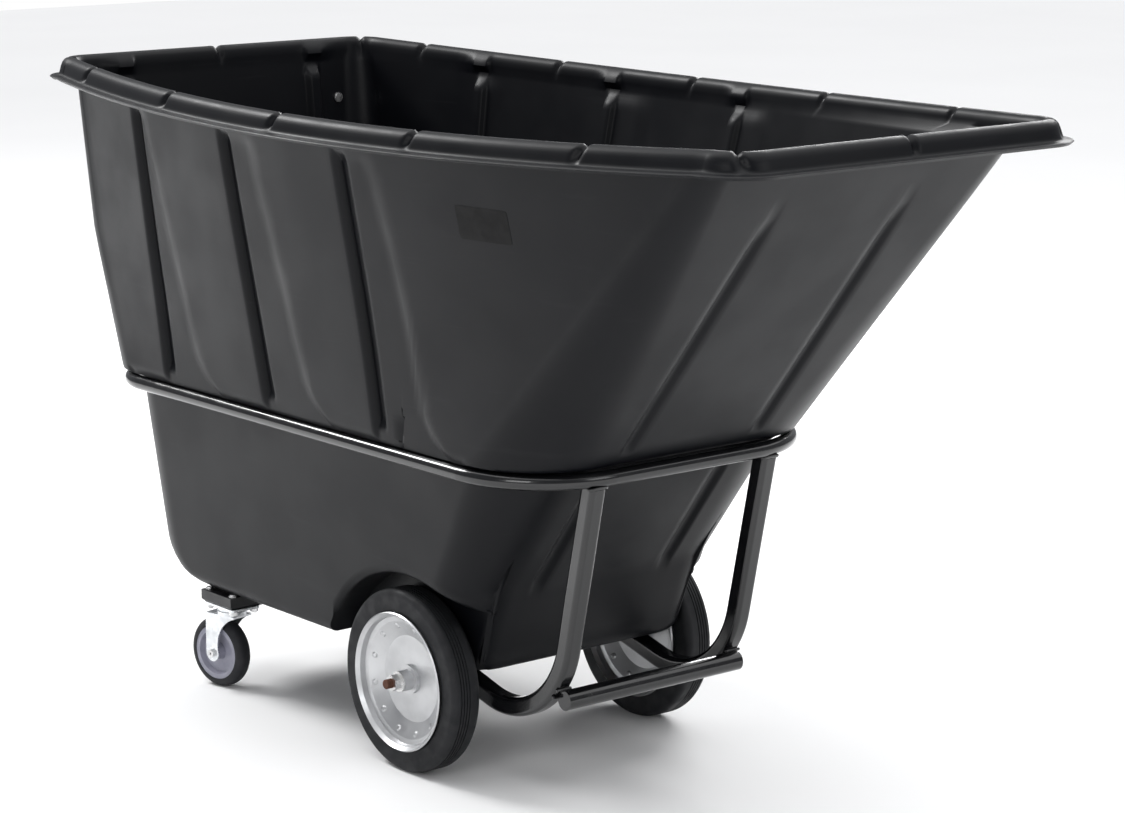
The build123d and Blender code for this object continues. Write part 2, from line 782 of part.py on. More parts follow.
def make_caster_block(side):
    """The spacer between the tub floor and the caster plate, with a ledge for the outer bolt heads."""
    height = floor_height - plate_top
    depth = block_outer_y - block_inner_y
    block = Box(block_length, depth, height, align=(Align.CENTER, Align.MIN, Align.MIN))
    low_edges = block.edges().filter_by(Axis.X) + block.edges().filter_by(Axis.Y)
    low_edges = low_edges.filter_by(lambda edge: edge.center().Z < height / 2)
    block = chamfer(low_edges, block_chamfer)
    ledge = Pos(0, depth - block_ledge_width, ledge_height - plate_top)
    block -= ledge * Box(2 * block_length, depth, height, align=(Align.CENTER, Align.MIN, Align.MIN))
    block = Pos(caster_x, block_inner_y, plate_top) * block
    block = block if side > 0 else mirror(block, Plane.XZ)
    for x, y, _ in plate_bolt_places(side):
        block -= round_bar((x, y, plate_top - 1), (0, 0, 1), height + 2, plate_bolt_radius + bolt_hole_gap)
    return block


def make_caster_plate(side):
    """The top plate with the fixed upper race."""
    plate = extrude(RectangleRounded(plate_length, plate_width, 6.0), plate_thickness)
    plate = Pos(caster_x, side * caster_y, plate_low) * plate
    plate += round_bar((caster_x, side * caster_y, race_high), (0, 0, 1), race_height, race_radius - 2.0)
    plate -= round_bar((caster_x, side * caster_y, race_high - 1), (0, 0, 1), plate_top,
                       kingpin_radius + seat_gap)
    for x, y, _ in plate_bolt_places(side):
        plate -= round_bar((x, y, plate_low - 1), (0, 0, 1), plate_thickness + 2,
                           plate_bolt_radius + bolt_hole_gap)
    return plate


def make_kingpin(side):
    """The pin that holds the fork up under the plate."""
    head_top = crown_low - race_gap
    pin = round_bar((caster_x, side * caster_y, head_top), (0, 0, 1), plate_top - head_top, kingpin_radius)
    return pin + round_bar((caster_x, side * caster_y, head_top), (0, 0, -1), kingpin_head_height,
                           kingpin_head_radius)


def make_caster_bolts(side):
    """Four round-headed bolts through one caster plate."""
    tip = plate_low - small_nut_height - 2.0
    return group(dome_bolt(x, y, seat, tip, plate_bolt_radius, plate_bolt_head_radius, plate_bolt_head_height)
                 for x, y, seat in plate_bolt_places(side))


def make_caster_nuts(side):
    """The nuts under one caster plate."""
    return group(hex_nut((x, y, plate_low), (0, 0, -1), small_nut_flats, small_nut_height,
                         plate_bolt_radius + seat_gap) for x, y, _ in plate_bolt_places(side))


def at_swivel(shape, side):
    """Put a shape made about the kingpin, trailing towards -X, on one caster."""
    return Pos(caster_x, side * caster_y, 0) * Rot(0, 0, caster_swivel_angle) * shape


def make_fork():
    """The crown and two cheeks of the fork."""
    tail = -caster_trail - fork_tail
    axle = Vector(-caster_trail, 0, caster_wheel_radius)
    bore = caster_axle_radius + seat_gap
    outline = Wire([
        Line((tail, crown_high), (tail, axle.Z)).edge(),
        ThreePointArc((tail, axle.Z), (axle.X, axle.Z - fork_tail), (axle.X + fork_tail, axle.Z)).edge(),
        ThreePointArc((axle.X + fork_tail, axle.Z), (-fork_tail / 2, 0.35 * axle.Z + 0.65 * crown_low),
                      (fork_nose, crown_low)).edge(),
        Line((fork_nose, crown_low), (fork_nose, crown_high)).edge(),
        Line((fork_nose, crown_high), (tail, crown_high)).edge()])
    cheek_plane = Plane(origin=(0, 0, 0), x_dir=(1, 0, 0), z_dir=(0, -1, 0))
    cheek = cheek_plane * extrude(Face(outline), fork_thickness)
    width = 2 * (fork_inner_half + fork_thickness)
    crown_length = fork_nose - tail
    crown = Pos((fork_nose + tail) / 2, 0, crown_low) * Box(
        crown_length, width, crown_thickness, align=(Align.CENTER, Align.CENTER, Align.MIN))
    fork = crown
    for side in (-1, 1):
        start = fork_inner_half + fork_thickness if side > 0 else -fork_inner_half
        fork += Pos(0, start, 0) * cheek
    fork -= round_bar((0, 0, 0), (0, 0, 1), plate_top, kingpin_radius + running_clearance)
    fork -= round_bar((axle.X, -width, axle.Z), (0, 1, 0), 2 * width, bore)
    return fork


def make_caster_race():
    """The lower race, fixed on the crown."""
    return tube((0, 0, crown_high), (0, 0, 1), race_height, race_radius, kingpin_radius + running_clearance)


def make_caster_axle():
    """The bolt through the fork and the wheel."""
    reach = fork_inner_half + fork_thickness
    length = 2 * reach + small_nut_height + 2.0
    center = (-caster_trail, -reach, caster_wheel_radius)
    bolt = round_bar(center, (0, 1, 0), length, caster_axle_radius)
    return bolt + hex_nut(center, (0, -1, 0), small_nut_flats, small_nut_height - 1.0,
                          caster_axle_radius / 2)


def make_caster_axle_nut():
    """The nut on the caster's axle bolt."""
    reach = fork_inner_half + fork_thickness
    return hex_nut((-caster_trail, reach, caster_wheel_radius), (0, 1, 0), small_nut_flats,
                   small_nut_height, caster_axle_radius + seat_gap)


def make_caster_sleeve():
    """The fixed sleeve that the caster wheel turns on."""
    return tube((-caster_trail, -fork_inner_half, caster_wheel_radius), (0, 1, 0), 2 * fork_inner_half,
                caster_sleeve_radius, caster_axle_radius + seat_gap)


def make_caster_core():
    """The moulded wheel centre: hub, recessed web and rim."""
    rim_reach = caster_wheel_width / 2 - 1.0
    hub_reach = fork_inner_half - side_play
    bore = caster_sleeve_radius + running_clearance
    rim_inner = caster_core_radius - caster_core_rim
    near = [(bore, hub_reach), (caster_hub_radius, hub_reach),
            (caster_hub_radius + 2.0, caster_core_web), (rim_inner - 3.0, caster_core_web),
            (rim_inner, rim_reach), (caster_core_radius, rim_reach)]
    far = [(radius, -reach) for radius, reach in near[::-1]]
    return Pos(-caster_trail, 0, caster_wheel_radius) * turned(near + far)


def make_caster_tyre():
    """The round-shouldered tread on the caster wheel."""
    half = caster_wheel_width / 2
    inner = caster_core_radius + seat_gap
    profile = make_face(Polyline((inner, half, 0), (caster_wheel_radius, half, 0),
                                 (caster_wheel_radius, -half, 0), (inner, -half, 0), close=True))
    corners = profile.vertices().group_by(Axis.X)[-1]
    tread = revolve(fillet(corners, caster_tread_shoulder), Axis.Y)
    return Pos(-caster_trail, 0, caster_wheel_radius) * tread


# ================================================================ build
def main():
    """Make every node."""
    os.makedirs("parts", exist_ok=True)
    write("tub", make_tub())
    write("blank_label", make_label())
    write("rear_wall_bolts", make_rear_wall_bolts())
    write("hoop_tube", make_hoop())
    write("bumper_bar", make_bumper_bar())
    write("bumper_caps", make_bumper_caps())
    write("axle_beam", make_axle_beam())
    write("beam_bolts", make_beam_bolts())
    write("beam_nuts", make_beam_nuts())
    write("axle", make_axle())
    write("axle_spacers", make_axle_spacers())
    write("axle_washers", make_axle_washers())
    write("axle_nuts", make_axle_nuts())
    for name, side in SIDES.items():
        write(f"leg_{name}", make_leg(side))
        write(f"wheel_tyre_{name}", at_wheel(make_tyre(), side))
        write(f"wheel_disc_outer_{name}", at_wheel(make_disc(True), side))
        write(f"wheel_disc_inner_{name}", at_wheel(make_disc(False), side))
        write(f"wheel_hub_{name}", at_wheel(make_hub(), side))
        write(f"wheel_bushes_{name}", group(at_wheel(bush, side) for bush in make_hub_bushes()))
        write(f"caster_block_{name}", make_caster_block(side))
        write(f"caster_plate_{name}", make_caster_plate(side))
        write(f"caster_kingpin_{name}", make_kingpin(side))
        write(f"caster_bolts_{name}", make_caster_bolts(side))
        write(f"caster_nuts_{name}", make_caster_nuts(side))
        write(f"caster_fork_{name}", at_swivel(make_fork(), side))
        write(f"caster_race_{name}", at_swivel(make_caster_race(), side))
        write(f"caster_axle_{name}", at_swivel(make_caster_axle(), side))
        write(f"caster_axle_nut_{name}", at_swivel(make_caster_axle_nut(), side))
        write(f"caster_sleeve_{name}", at_swivel(make_caster_sleeve(), side))
        write(f"caster_core_{name}", at_swivel(make_caster_core(), side))
        write(f"caster_tyre_{name}", at_swivel(make_caster_tyre(), side))


main()
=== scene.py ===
"""Looks of a tilt truck: a moulded tub on a tube frame, with two fixed wheels and two swivel casters.

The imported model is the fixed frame.  Lengths are metres, +Z is up, +X points at the sloped dump end,
and the right side is -Y.  Each sub-assembly is a class that models its pieces and dresses them.
"""
from __future__ import annotations

import json
import logging
import math
from bisect import bisect_right
from dataclasses import dataclass, field
from enum import Enum
from typing import Callable, Sequence

import bpy
from mathutils import Matrix, Vector

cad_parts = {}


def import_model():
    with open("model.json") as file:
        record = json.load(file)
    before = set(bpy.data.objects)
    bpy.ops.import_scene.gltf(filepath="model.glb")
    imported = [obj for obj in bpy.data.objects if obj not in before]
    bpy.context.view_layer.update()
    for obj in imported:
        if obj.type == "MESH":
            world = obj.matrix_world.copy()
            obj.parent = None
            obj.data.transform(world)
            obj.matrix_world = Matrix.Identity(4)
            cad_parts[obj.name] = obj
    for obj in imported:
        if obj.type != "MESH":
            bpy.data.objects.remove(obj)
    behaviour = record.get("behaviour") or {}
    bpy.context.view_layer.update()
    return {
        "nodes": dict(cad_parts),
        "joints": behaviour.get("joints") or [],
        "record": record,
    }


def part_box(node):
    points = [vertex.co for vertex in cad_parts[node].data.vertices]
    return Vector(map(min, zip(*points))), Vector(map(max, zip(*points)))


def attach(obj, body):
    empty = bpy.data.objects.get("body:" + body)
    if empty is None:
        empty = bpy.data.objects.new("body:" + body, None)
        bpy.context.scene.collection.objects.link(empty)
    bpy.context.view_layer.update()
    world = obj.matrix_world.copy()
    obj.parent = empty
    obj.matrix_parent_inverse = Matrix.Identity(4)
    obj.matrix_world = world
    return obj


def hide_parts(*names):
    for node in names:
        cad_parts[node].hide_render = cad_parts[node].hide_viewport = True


LOG = logging.getLogger("tilt_truck")
ROOT_BODY = "truck"
MERGE_DISTANCE = 0.00008

Point2 = tuple[float, float]
Point3 = tuple[float, float, float]


class Side(Enum):
    """The two sides of the truck, with the sign of Y on each."""

    RIGHT = -1
    LEFT = 1

    @property
    def word(self) -> str:
        """The side's name in node and body names."""
        return self.name.lower()


# ================================================================ small maths
def mix(a: float, b: float, share: float) -> float:
    """Return the value a share of the way from a to b."""
    return a + (b - a) * share


def clamp(value: float, low: float = 0.0, high: float = 1.0) -> float:
    """Return value held between low and high."""
    return max(low, min(high, value))


def smooth(low: float, high: float, value: float) -> float:
    """Return 0 below low, 1 above high and a smooth rise between; low may exceed high."""
    share = clamp((value - low) / (high - low))
    return share * share * (3.0 - 2.0 * share)


def bell(value: float, width: float) -> float:
    """Return a rounded bump that is 1 at 0 and near 0 past two widths."""
    return math.exp(-((value / width) ** 2))


def along(knots: Sequence[Point2], value: float) -> float:
    """Read a broken line of (place, height) knots at a place.

    Args:
        knots: Points in rising order of place.
        value: The place to read at.

    Returns:
        The height there, with the end stretches carried on straight.
    """
    places = [knot[0] for knot in knots]
    index = min(max(bisect_right(places, value), 1), len(knots) - 1)
    (x0, y0), (x1, y1) = knots[index - 1], knots[index]
    return mix(y0, y1, (value - x0) / (x1 - x0))


def steps(start: float, end: float, count: int) -> list[float]:
    """Return count places spread evenly after start, up to and with end."""
    return [mix(start, end, (index + 1) / count) for index in range(count)]


# ================================================================ modelling by operators
def deselect_all() -> None:
    """Leave object mode with nothing selected."""
    if bpy.context.object and bpy.context.object.mode != "OBJECT":
        bpy.ops.object.mode_set(mode="OBJECT")
    bpy.ops.object.select_all(action="DESELECT")


def activate(piece: bpy.types.Object) -> None:
    """Make a piece the only selected and the active one."""
    deselect_all()
    piece.select_set(True)
    bpy.context.view_layer.objects.active = piece


def named(name: str) -> bpy.types.Object:
    """Name the object that an operator has just added, and return it."""
    piece = bpy.context.object
    piece.name = name
    piece.data.name = name
    return piece


def settle(piece: bpy.types.Object) -> bpy.types.Object:
    """Put a piece's place into its mesh, so that its object sits at the origin."""
    activate(piece)
    bpy.ops.object.transform_apply(location=True, rotation=True, scale=True)
    return piece


def clean(piece: bpy.types.Object, outward: bool = True) -> bpy.types.Object:
    """Merge a piece's doubles and, if asked, point its faces outwards."""
    activate(piece)
    bpy.ops.object.mode_set(mode="EDIT")
    bpy.ops.mesh.select_all(action="SELECT")
    bpy.ops.mesh.remove_doubles(threshold=MERGE_DISTANCE)
    bpy.ops.mesh.dissolve_degenerate(threshold=MERGE_DISTANCE / 4)
    if outward:
        bpy.ops.mesh.normals_make_consistent(inside=False)
    bpy.ops.object.mode_set(mode="OBJECT")
    return piece


def smooth_by_angle(piece: bpy.types.Object, degrees: float = 35.0) -> bpy.types.Object:
    """Shade a piece smooth, except across edges sharper than an angle."""
    activate(piece)
    bpy.ops.object.shade_smooth_by_angle(angle=math.radians(degrees))
    return piece


def apply_modifier(piece: bpy.types.Object, kind: str, **settings: object) -> bpy.types.Object:
    """Add a modifier, set it and apply it.

    Args:
        piece: The mesh object.
        kind: The modifier's type, such as BEVEL.
        **settings: Its properties by name.

    Returns:
        The same object.
    """
    activate(piece)
    modifier = piece.modifiers.new(kind.title(), kind)
    for key, value in settings.items():
        setattr(modifier, key, value)
    bpy.ops.object.modifier_apply(modifier=modifier.name)
    return piece


def soften(piece: bpy.types.Object, width: float, segments: int = 2) -> bpy.types.Object:
    """Round a piece's sharp edges a little and shade it smooth."""
    apply_modifier(piece, "BEVEL", width=width, segments=segments, limit_method="ANGLE",
                   angle_limit=math.radians(40.0))
    return smooth_by_angle(piece)


def joined(name: str, pieces: Sequence[bpy.types.Object]) -> bpy.types.Object:
    """Join pieces into one object of the given name."""
    activate(pieces[0])
    for piece in pieces:
        piece.select_set(True)
    bpy.ops.object.join()
    return named(name)


def shaped_grid(name: str, columns: int, rows: int,
                place: Callable[[int, int], Point3]) -> bpy.types.Object:
    """Add a flat grid and move each of its corners to its place on a surface.

    Args:
        name: The new object's name.
        columns: Number of faces across.
        rows: Number of faces up.
        place: Gives the point for a column and row of corners.

    Returns:
        The new mesh object, with its doubles not yet merged.
    """
    deselect_all()
    bpy.ops.mesh.primitive_grid_add(x_subdivisions=columns, y_subdivisions=rows, size=2.0)
    piece = named(name)
    for vertex in piece.data.vertices:
        column = round((vertex.co.x + 1.0) / 2.0 * columns)
        row = round((vertex.co.y + 1.0) / 2.0 * rows)
        vertex.co = place(column, row)
    return piece


# ================================================================ finishes
class Graph:
    """A material's node tree, with one short method for each kind of node it needs."""

    def __init__(self, name: str) -> None:
        """Start an empty material with an output and a main shader.

        Args:
            name: The material's name.
        """
        self.material = bpy.data.materials.new(name)
        self.material.use_nodes = True
        self.tree = self.material.node_tree
        self.tree.nodes.clear()
        output = self.node("ShaderNodeOutputMaterial")
        self.shader = self.node("ShaderNodeBsdfPrincipled")
        self.link(self.shader.outputs[0], output.inputs["Surface"])
        self.coordinates = self.node("ShaderNodeTexCoord").outputs["Object"]

    def node(self, kind: str) -> bpy.types.Node:
        """Add a node of a kind."""
        return self.tree.nodes.new(kind)

    def link(self, source: bpy.types.NodeSocket, target: bpy.types.NodeSocket) -> None:
        """Join two sockets."""
        self.tree.links.new(source, target)

    def stretched(self, scale: Point3) -> bpy.types.NodeSocket:
        """Return the object coordinates, stretched along each axis."""
        mapping = self.node("ShaderNodeMapping")
        mapping.inputs["Scale"].default_value = scale
        self.link(self.coordinates, mapping.inputs["Vector"])
        return mapping.outputs["Vector"]

    def noise(self, scale: float, detail: float = 4.0, stretch: Point3 = (1.0, 1.0, 1.0)
              ) -> bpy.types.NodeSocket:
        """Return a noise value at a scale."""
        texture = self.node("ShaderNodeTexNoise")
        texture.inputs["Scale"].default_value = scale
        texture.inputs["Detail"].default_value = detail
        self.link(self.stretched(stretch), texture.inputs["Vector"])
        return texture.outputs["Fac"]

    def spread(self, value: bpy.types.NodeSocket, low: float, high: float, new_low: float,
               new_high: float) -> bpy.types.NodeSocket:
        """Map a value's range low to high onto a new range, and hold it there."""
        ranged = self.node("ShaderNodeMapRange")
        ranged.interpolation_type = "SMOOTHSTEP"
        for key, number in (("From Min", low), ("From Max", high), ("To Min", new_low),
                            ("To Max", new_high)):
            ranged.inputs[key].default_value = number
        self.link(value, ranged.inputs["Value"])
        return ranged.outputs["Result"]

    def math(self, operation: str, first: bpy.types.NodeSocket, second: object) -> bpy.types.NodeSocket:
        """Combine two values, the second a socket or a number."""
        node = self.node("ShaderNodeMath")
        node.operation = operation
        self.link(first, node.inputs[0])
        if isinstance(second, bpy.types.NodeSocket):
            self.link(second, node.inputs[1])
        else:
            node.inputs[1].default_value = second
        return node.outputs[0]

    def blend(self, share: bpy.types.NodeSocket, first: object, second: object) -> bpy.types.NodeSocket:
        """Mix two colours, each a socket or a tuple, by a share."""
        node = self.node("ShaderNodeMix")
        node.data_type = "RGBA"
        self.link(share, node.inputs["Factor"])
        for socket, colour in ((node.inputs[6], first), (node.inputs[7], second)):
            if isinstance(colour, bpy.types.NodeSocket):
                self.link(colour, socket)
            else:
                socket.default_value = (*colour, 1.0)
        return node.outputs[2]

    def bump(self, height: bpy.types.NodeSocket, distance: float, strength: float,
             below: bpy.types.NodeSocket | None = None) -> bpy.types.NodeSocket:
        """Return a bumped normal, laid on another bump when one is given."""
        node = self.node("ShaderNodeBump")
        node.inputs["Distance"].default_value = distance
        node.inputs["Strength"].default_value = strength
        self.link(height, node.inputs["Height"])
        if below is not None:
            self.link(below, node.inputs["Normal"])
        return node.outputs["Normal"]

    def upward(self) -> bpy.types.NodeSocket:
        """Return how far a surface faces up, from -1 to 1."""
        geometry = self.node("ShaderNodeNewGeometry")
        split = self.node("ShaderNodeSeparateXYZ")
        self.link(geometry.outputs["Normal"], split.inputs[0])
        return split.outputs["Z"]

    def colour(self, socket: bpy.types.NodeSocket) -> None:
        """Join a colour to the shader."""
        self.link(socket, self.shader.inputs["Base Color"])

    def roughness(self, socket: bpy.types.NodeSocket) -> None:
        """Join a roughness to the shader."""
        self.link(socket, self.shader.inputs["Roughness"])

    def normal(self, socket: bpy.types.NodeSocket) -> None:
        """Join a normal to the shader."""
        self.link(socket, self.shader.inputs["Normal"])

    def fixed(self, **values: float) -> None:
        """Set constant shader inputs, with underscores for the spaces in their names."""
        for key, value in values.items():
            self.shader.inputs[key.replace("_", " ")].default_value = value


@dataclass(frozen=True)
class MouldedPlastic:
    """Rotomoulded polyethylene: satin, with a fine skin, soft waves, scuffs, and painted top light that pales
    upward faces, which are also rougher.
    """

    name: str
    colour: Point3
    worn: Point3
    # pale tone of the painted top light on upward faces
    dust_and_top_light: Point3
    rough_low: float = 0.36
    rough_high: float = 0.44
    skin_scale: float = 900.0
    skin_height: float = 0.00006
    wave_height: float = 0.0007
    scuff_amount: float = 0.3
    # strength of the painted top light
    top_light_amount: float = 0.2

    def build(self) -> bpy.types.Material:
        """Make the material."""
        graph = Graph(self.name)
        cloud = graph.noise(3.5, 3.0)
        tone = graph.blend(graph.spread(cloud, 0.35, 0.68, 0.0, 1.0), self.colour,
                           tuple(channel * 1.22 for channel in self.colour))
        scuffs = graph.spread(graph.noise(14.0, 7.0, (0.35, 0.35, 2.6)), 0.64, 0.74, 0.0, self.scuff_amount)
        fine = graph.spread(graph.noise(60.0, 8.0, (0.12, 0.12, 2.4)), 0.66, 0.72, 0.0, self.scuff_amount)
        tone = graph.blend(graph.math("MAXIMUM", scuffs, fine), tone, self.worn)
        # painted top light: faces that point up are lightened towards the pale tone in noisy patches, and
        # made rougher there
        painted_top_light = graph.math("MULTIPLY", graph.spread(graph.upward(), 0.35, 1.0, 0.0, self.top_light_amount),
                             graph.spread(graph.noise(22.0, 6.0), 0.3, 0.7, 0.25, 1.0))
        graph.colour(graph.blend(painted_top_light, tone, self.dust_and_top_light))
        rough = graph.spread(graph.noise(9.0, 5.0), 0.3, 0.7, self.rough_low, self.rough_high)
        graph.roughness(graph.math("ADD", rough, graph.math("MULTIPLY", painted_top_light, 0.6)))
        waves = graph.bump(graph.noise(5.0, 2.0), self.wave_height, 0.35)
        graph.normal(graph.bump(graph.noise(self.skin_scale, 2.0), self.skin_height, 0.6, waves))
        graph.fixed(Specular_IOR_Level=0.17)
        return graph.material


@dataclass(frozen=True)
class PowderCoat:
    """Gloss black powder coat: deep colour, orange peel and small rubbed patches."""

    name: str
    colour: Point3
    rubbed: Point3
    rough_low: float = 0.13
    rough_high: float = 0.24
    peel_height: float = 0.00012
    coat: float = 0.35

    def build(self) -> bpy.types.Material:
        """Make the material."""
        graph = Graph(self.name)
        cloud = graph.spread(graph.noise(18.0, 4.0), 0.3, 0.7, 0.0, 1.0)
        tone = graph.blend(cloud, self.colour, tuple(channel * 1.6 for channel in self.colour))
        rub = graph.spread(graph.noise(26.0, 9.0, (1.0, 1.0, 0.4)), 0.66, 0.78, 0.0, 0.4)
        graph.colour(graph.blend(rub, tone, self.rubbed))
        rough = graph.spread(graph.noise(30.0, 5.0), 0.3, 0.7, self.rough_low, self.rough_high)
        graph.roughness(graph.math("ADD", rough, graph.math("MULTIPLY", rub, 0.4)))
        graph.normal(graph.bump(graph.noise(260.0, 2.0), self.peel_height, 0.35))
        graph.fixed(Coat_Weight=self.coat, Coat_Roughness=0.06)
        return graph.material


@dataclass(frozen=True)
class Rubber:
    """Dark grey rubber: dull, fine grained, with dusty patches."""

    name: str
    colour: Point3
    dust_and_top_light: Point3
    rough_low: float = 0.52
    rough_high: float = 0.74
    grain_scale: float = 700.0
    dust_share: float = 0.28

    def build(self) -> bpy.types.Material:
        """Make the material."""
        graph = Graph(self.name)
        cloud = graph.spread(graph.noise(16.0, 5.0), 0.3, 0.72, 0.0, 1.0)
        tone = graph.blend(cloud, self.colour, tuple(channel * 1.35 for channel in self.colour))
        patches = graph.spread(graph.noise(38.0, 8.0), 0.5, 0.75, 0.0, self.dust_share)
        graph.colour(graph.blend(patches, tone, self.dust_and_top_light))
        rough = graph.spread(graph.noise(45.0, 6.0), 0.3, 0.7, self.rough_low, self.rough_high)
        graph.roughness(rough)
        coarse = graph.bump(graph.noise(90.0, 4.0), 0.0003, 0.3)
        graph.normal(graph.bump(graph.noise(self.grain_scale, 2.0), 0.00008, 0.5, coarse))
        graph.fixed(Specular_IOR_Level=0.28)
        return graph.material


@dataclass(frozen=True)
class ZincPlate:
    """Zinc plate on pressed steel: bright, slightly mottled, with a satin grain."""

    name: str
    colour: Point3
    stain: Point3
    metallic: float = 1.0
    rough_low: float = 0.24
    rough_high: float = 0.42
    stain_share: float = 0.35
    mottle_scale: float = 45.0

    def build(self) -> bpy.types.Material:
        """Make the material."""
        graph = Graph(self.name)
        mottle = graph.spread(graph.noise(self.mottle_scale, 6.0), 0.32, 0.7, 0.0, 1.0)
        tone = graph.blend(mottle, self.colour, tuple(channel * 0.86 for channel in self.colour))
        stained = graph.spread(graph.noise(22.0, 8.0), 0.52, 0.76, 0.0, self.stain_share)
        graph.colour(graph.blend(stained, tone, self.stain))
        rough = graph.spread(graph.noise(self.mottle_scale * 2.0, 5.0), 0.3, 0.7, self.rough_low,
                             self.rough_high)
        graph.roughness(graph.math("ADD", rough, graph.math("MULTIPLY", stained, 0.3)))
        graph.normal(graph.bump(graph.noise(420.0, 3.0), 0.00005, 0.4))
        graph.fixed(Metallic=self.metallic)
        return graph.material


@dataclass(frozen=True)
class PlainPlastic:
    """Smooth moulded plastic with a slight marbling, grimy patches and a fine grain."""

    name: str
    colour: Point3
    shade: Point3
    rough_low: float = 0.3
    rough_high: float = 0.45
    specular: float = 0.5

    def build(self) -> bpy.types.Material:
        """Make the material."""
        graph = Graph(self.name)
        cloud = graph.spread(graph.noise(30.0, 5.0), 0.3, 0.7, 0.0, 1.0)
        tone = graph.blend(cloud, self.colour, self.shade)
        grime = graph.spread(graph.noise(75.0, 8.0), 0.58, 0.78, 0.0, 0.22)
        graph.colour(graph.blend(grime, tone, tuple(channel * 0.45 for channel in self.shade)))
        graph.roughness(graph.spread(graph.noise(60.0, 5.0), 0.3, 0.7, self.rough_low, self.rough_high))
        graph.normal(graph.bump(graph.noise(500.0, 2.0), 0.00006, 0.4))
        graph.fixed(Specular_IOR_Level=self.specular)
        return graph.material


FINISHES = {
    # the tub's third tone is the pale colour of its painted top light on upward faces
    "tub_plastic": MouldedPlastic("black_polyethylene", (0.0022, 0.0025, 0.0037), (0.010, 0.0105, 0.012),
                                  (0.013, 0.0135, 0.015)),
    "label_plate": PlainPlastic("blank_label_film", (0.0022, 0.0022, 0.0024), (0.0035, 0.0035, 0.0037),
                                0.5, 0.62, 0.16),
    "frame_paint": PowderCoat("gloss_black_powder_coat", (0.0026, 0.0027, 0.0032), (0.02, 0.02, 0.021)),
    "block_paint": PowderCoat("satin_black_block_paint", (0.006, 0.0062, 0.007), (0.05, 0.05, 0.053),
                              0.34, 0.5, 0.0002, 0.0),
    "main_tyre": Rubber("cushion_tyre_rubber", (0.0085, 0.009, 0.0105), (0.026, 0.026, 0.028)),
    "wheel_zinc": ZincPlate("zinc_wheel_plate", (0.60, 0.605, 0.615), (0.46, 0.46, 0.47), 1.0, 0.34, 0.46,
                            0.2, 14.0),
    "bush_bronze": ZincPlate("oiled_bronze", (0.42, 0.3, 0.16), (0.16, 0.11, 0.06)),
    "axle_steel": ZincPlate("rusted_axle_end", (0.19, 0.09, 0.06), (0.08, 0.035, 0.025), 0.75, 0.45, 0.65,
                            0.8),
    "zinc_hardware": ZincPlate("bright_zinc_hardware", (0.7, 0.7, 0.7), (0.42, 0.41, 0.38), 1.0, 0.2,
                               0.36),
    "caster_zinc": ZincPlate("bright_zinc_caster", (0.76, 0.78, 0.8), (0.5, 0.51, 0.53), 1.0, 0.22, 0.38),
    "caster_core_grey": PlainPlastic("light_grey_core", (0.30, 0.30, 0.36), (0.25, 0.25, 0.31)),
    "caster_tread": Rubber("caster_tread_rubber", (0.013, 0.0135, 0.016), (0.04, 0.04, 0.043)),
}


class Dresser:
    """Builds each finish once and puts it on pieces."""

    def __init__(self) -> None:
        """Start with no finish built."""
        self.built: dict[str, bpy.types.Material] = {}

    def material(self, slot: str) -> bpy.types.Material:
        """Return the material of a slot."""
        if slot not in self.built:
            self.built[slot] = FINISHES[slot].build()
        return self.built[slot]

    def paint(self, piece: bpy.types.Object, slot: str) -> None:
        """Give a whole piece one slot's material."""
        piece.data.materials.clear()
        piece.data.materials.append(self.material(slot))

    def finish(self, piece: bpy.types.Object, slot: str, body: str, *nodes: str) -> bpy.types.Object:
        """Paint a new piece, attach it to a body and let it stand for CAD nodes.

        Args:
            piece: The finished mesh.
            slot: The record's material slot.
            body: The body that it rides on.
            *nodes: CAD nodes that it replaces.

        Returns:
            The same piece.
        """
        self.paint(piece, slot)
        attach(piece, body)
        if nodes:
            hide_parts(*nodes)
        LOG.info("%s: %d faces on %s", piece.name, len(piece.data.polygons), body)
        return piece


# ================================================================ tub
@dataclass
class Ring:
    """A rounded outline of the tub at one height: two ends, bowed sides and four corners."""

    rear: float
    front: float
    half_rear: float
    half_middle: float
    half_front: float
    corner_rear: float
    corner_front: float

    def blended(self, other: Ring, share: float) -> Ring:
        """Return the outline a share of the way to another."""
        return Ring(*(mix(getattr(self, key), getattr(other, key), share) for key in vars(self)))

    def flank_start(self) -> float:
        """Return where the side begins, after the rear corner."""
        return self.rear + self.corner_rear

    def flank_end(self) -> float:
        """Return where the side ends, before the front corner."""
        return self.front - self.corner_front

    def flank_half(self, x: float) -> float:
        """Return the half width of the bowed side at a length."""
        share = (x - self.flank_start()) / (self.flank_end() - self.flank_start())
        sagitta = self.half_middle - (self.half_rear + self.half_front) / 2
        return mix(self.half_rear, self.half_front, share) + sagitta * 4 * share * (1 - share)

    def flank_slope(self, x: float) -> float:
        """Return how fast the half width changes along the length."""
        step = 0.001
        return (self.flank_half(x + step) - self.flank_half(x - step)) / (2 * step)


class Part(Enum):
    """The stretches of one half of the outline, from the middle of the rear to the middle of the front."""

    REAR = 0
    REAR_CORNER = 1
    FLANK = 2
    FRONT_CORNER = 3
    FRONT = 4


@dataclass
class Station:
    """One upright line on the tub: where it is on the outline, by the knots either side of it."""

    part: Part
    knot_a: int
    offset_a: float
    knot_b: int
    offset_b: float
    share: float


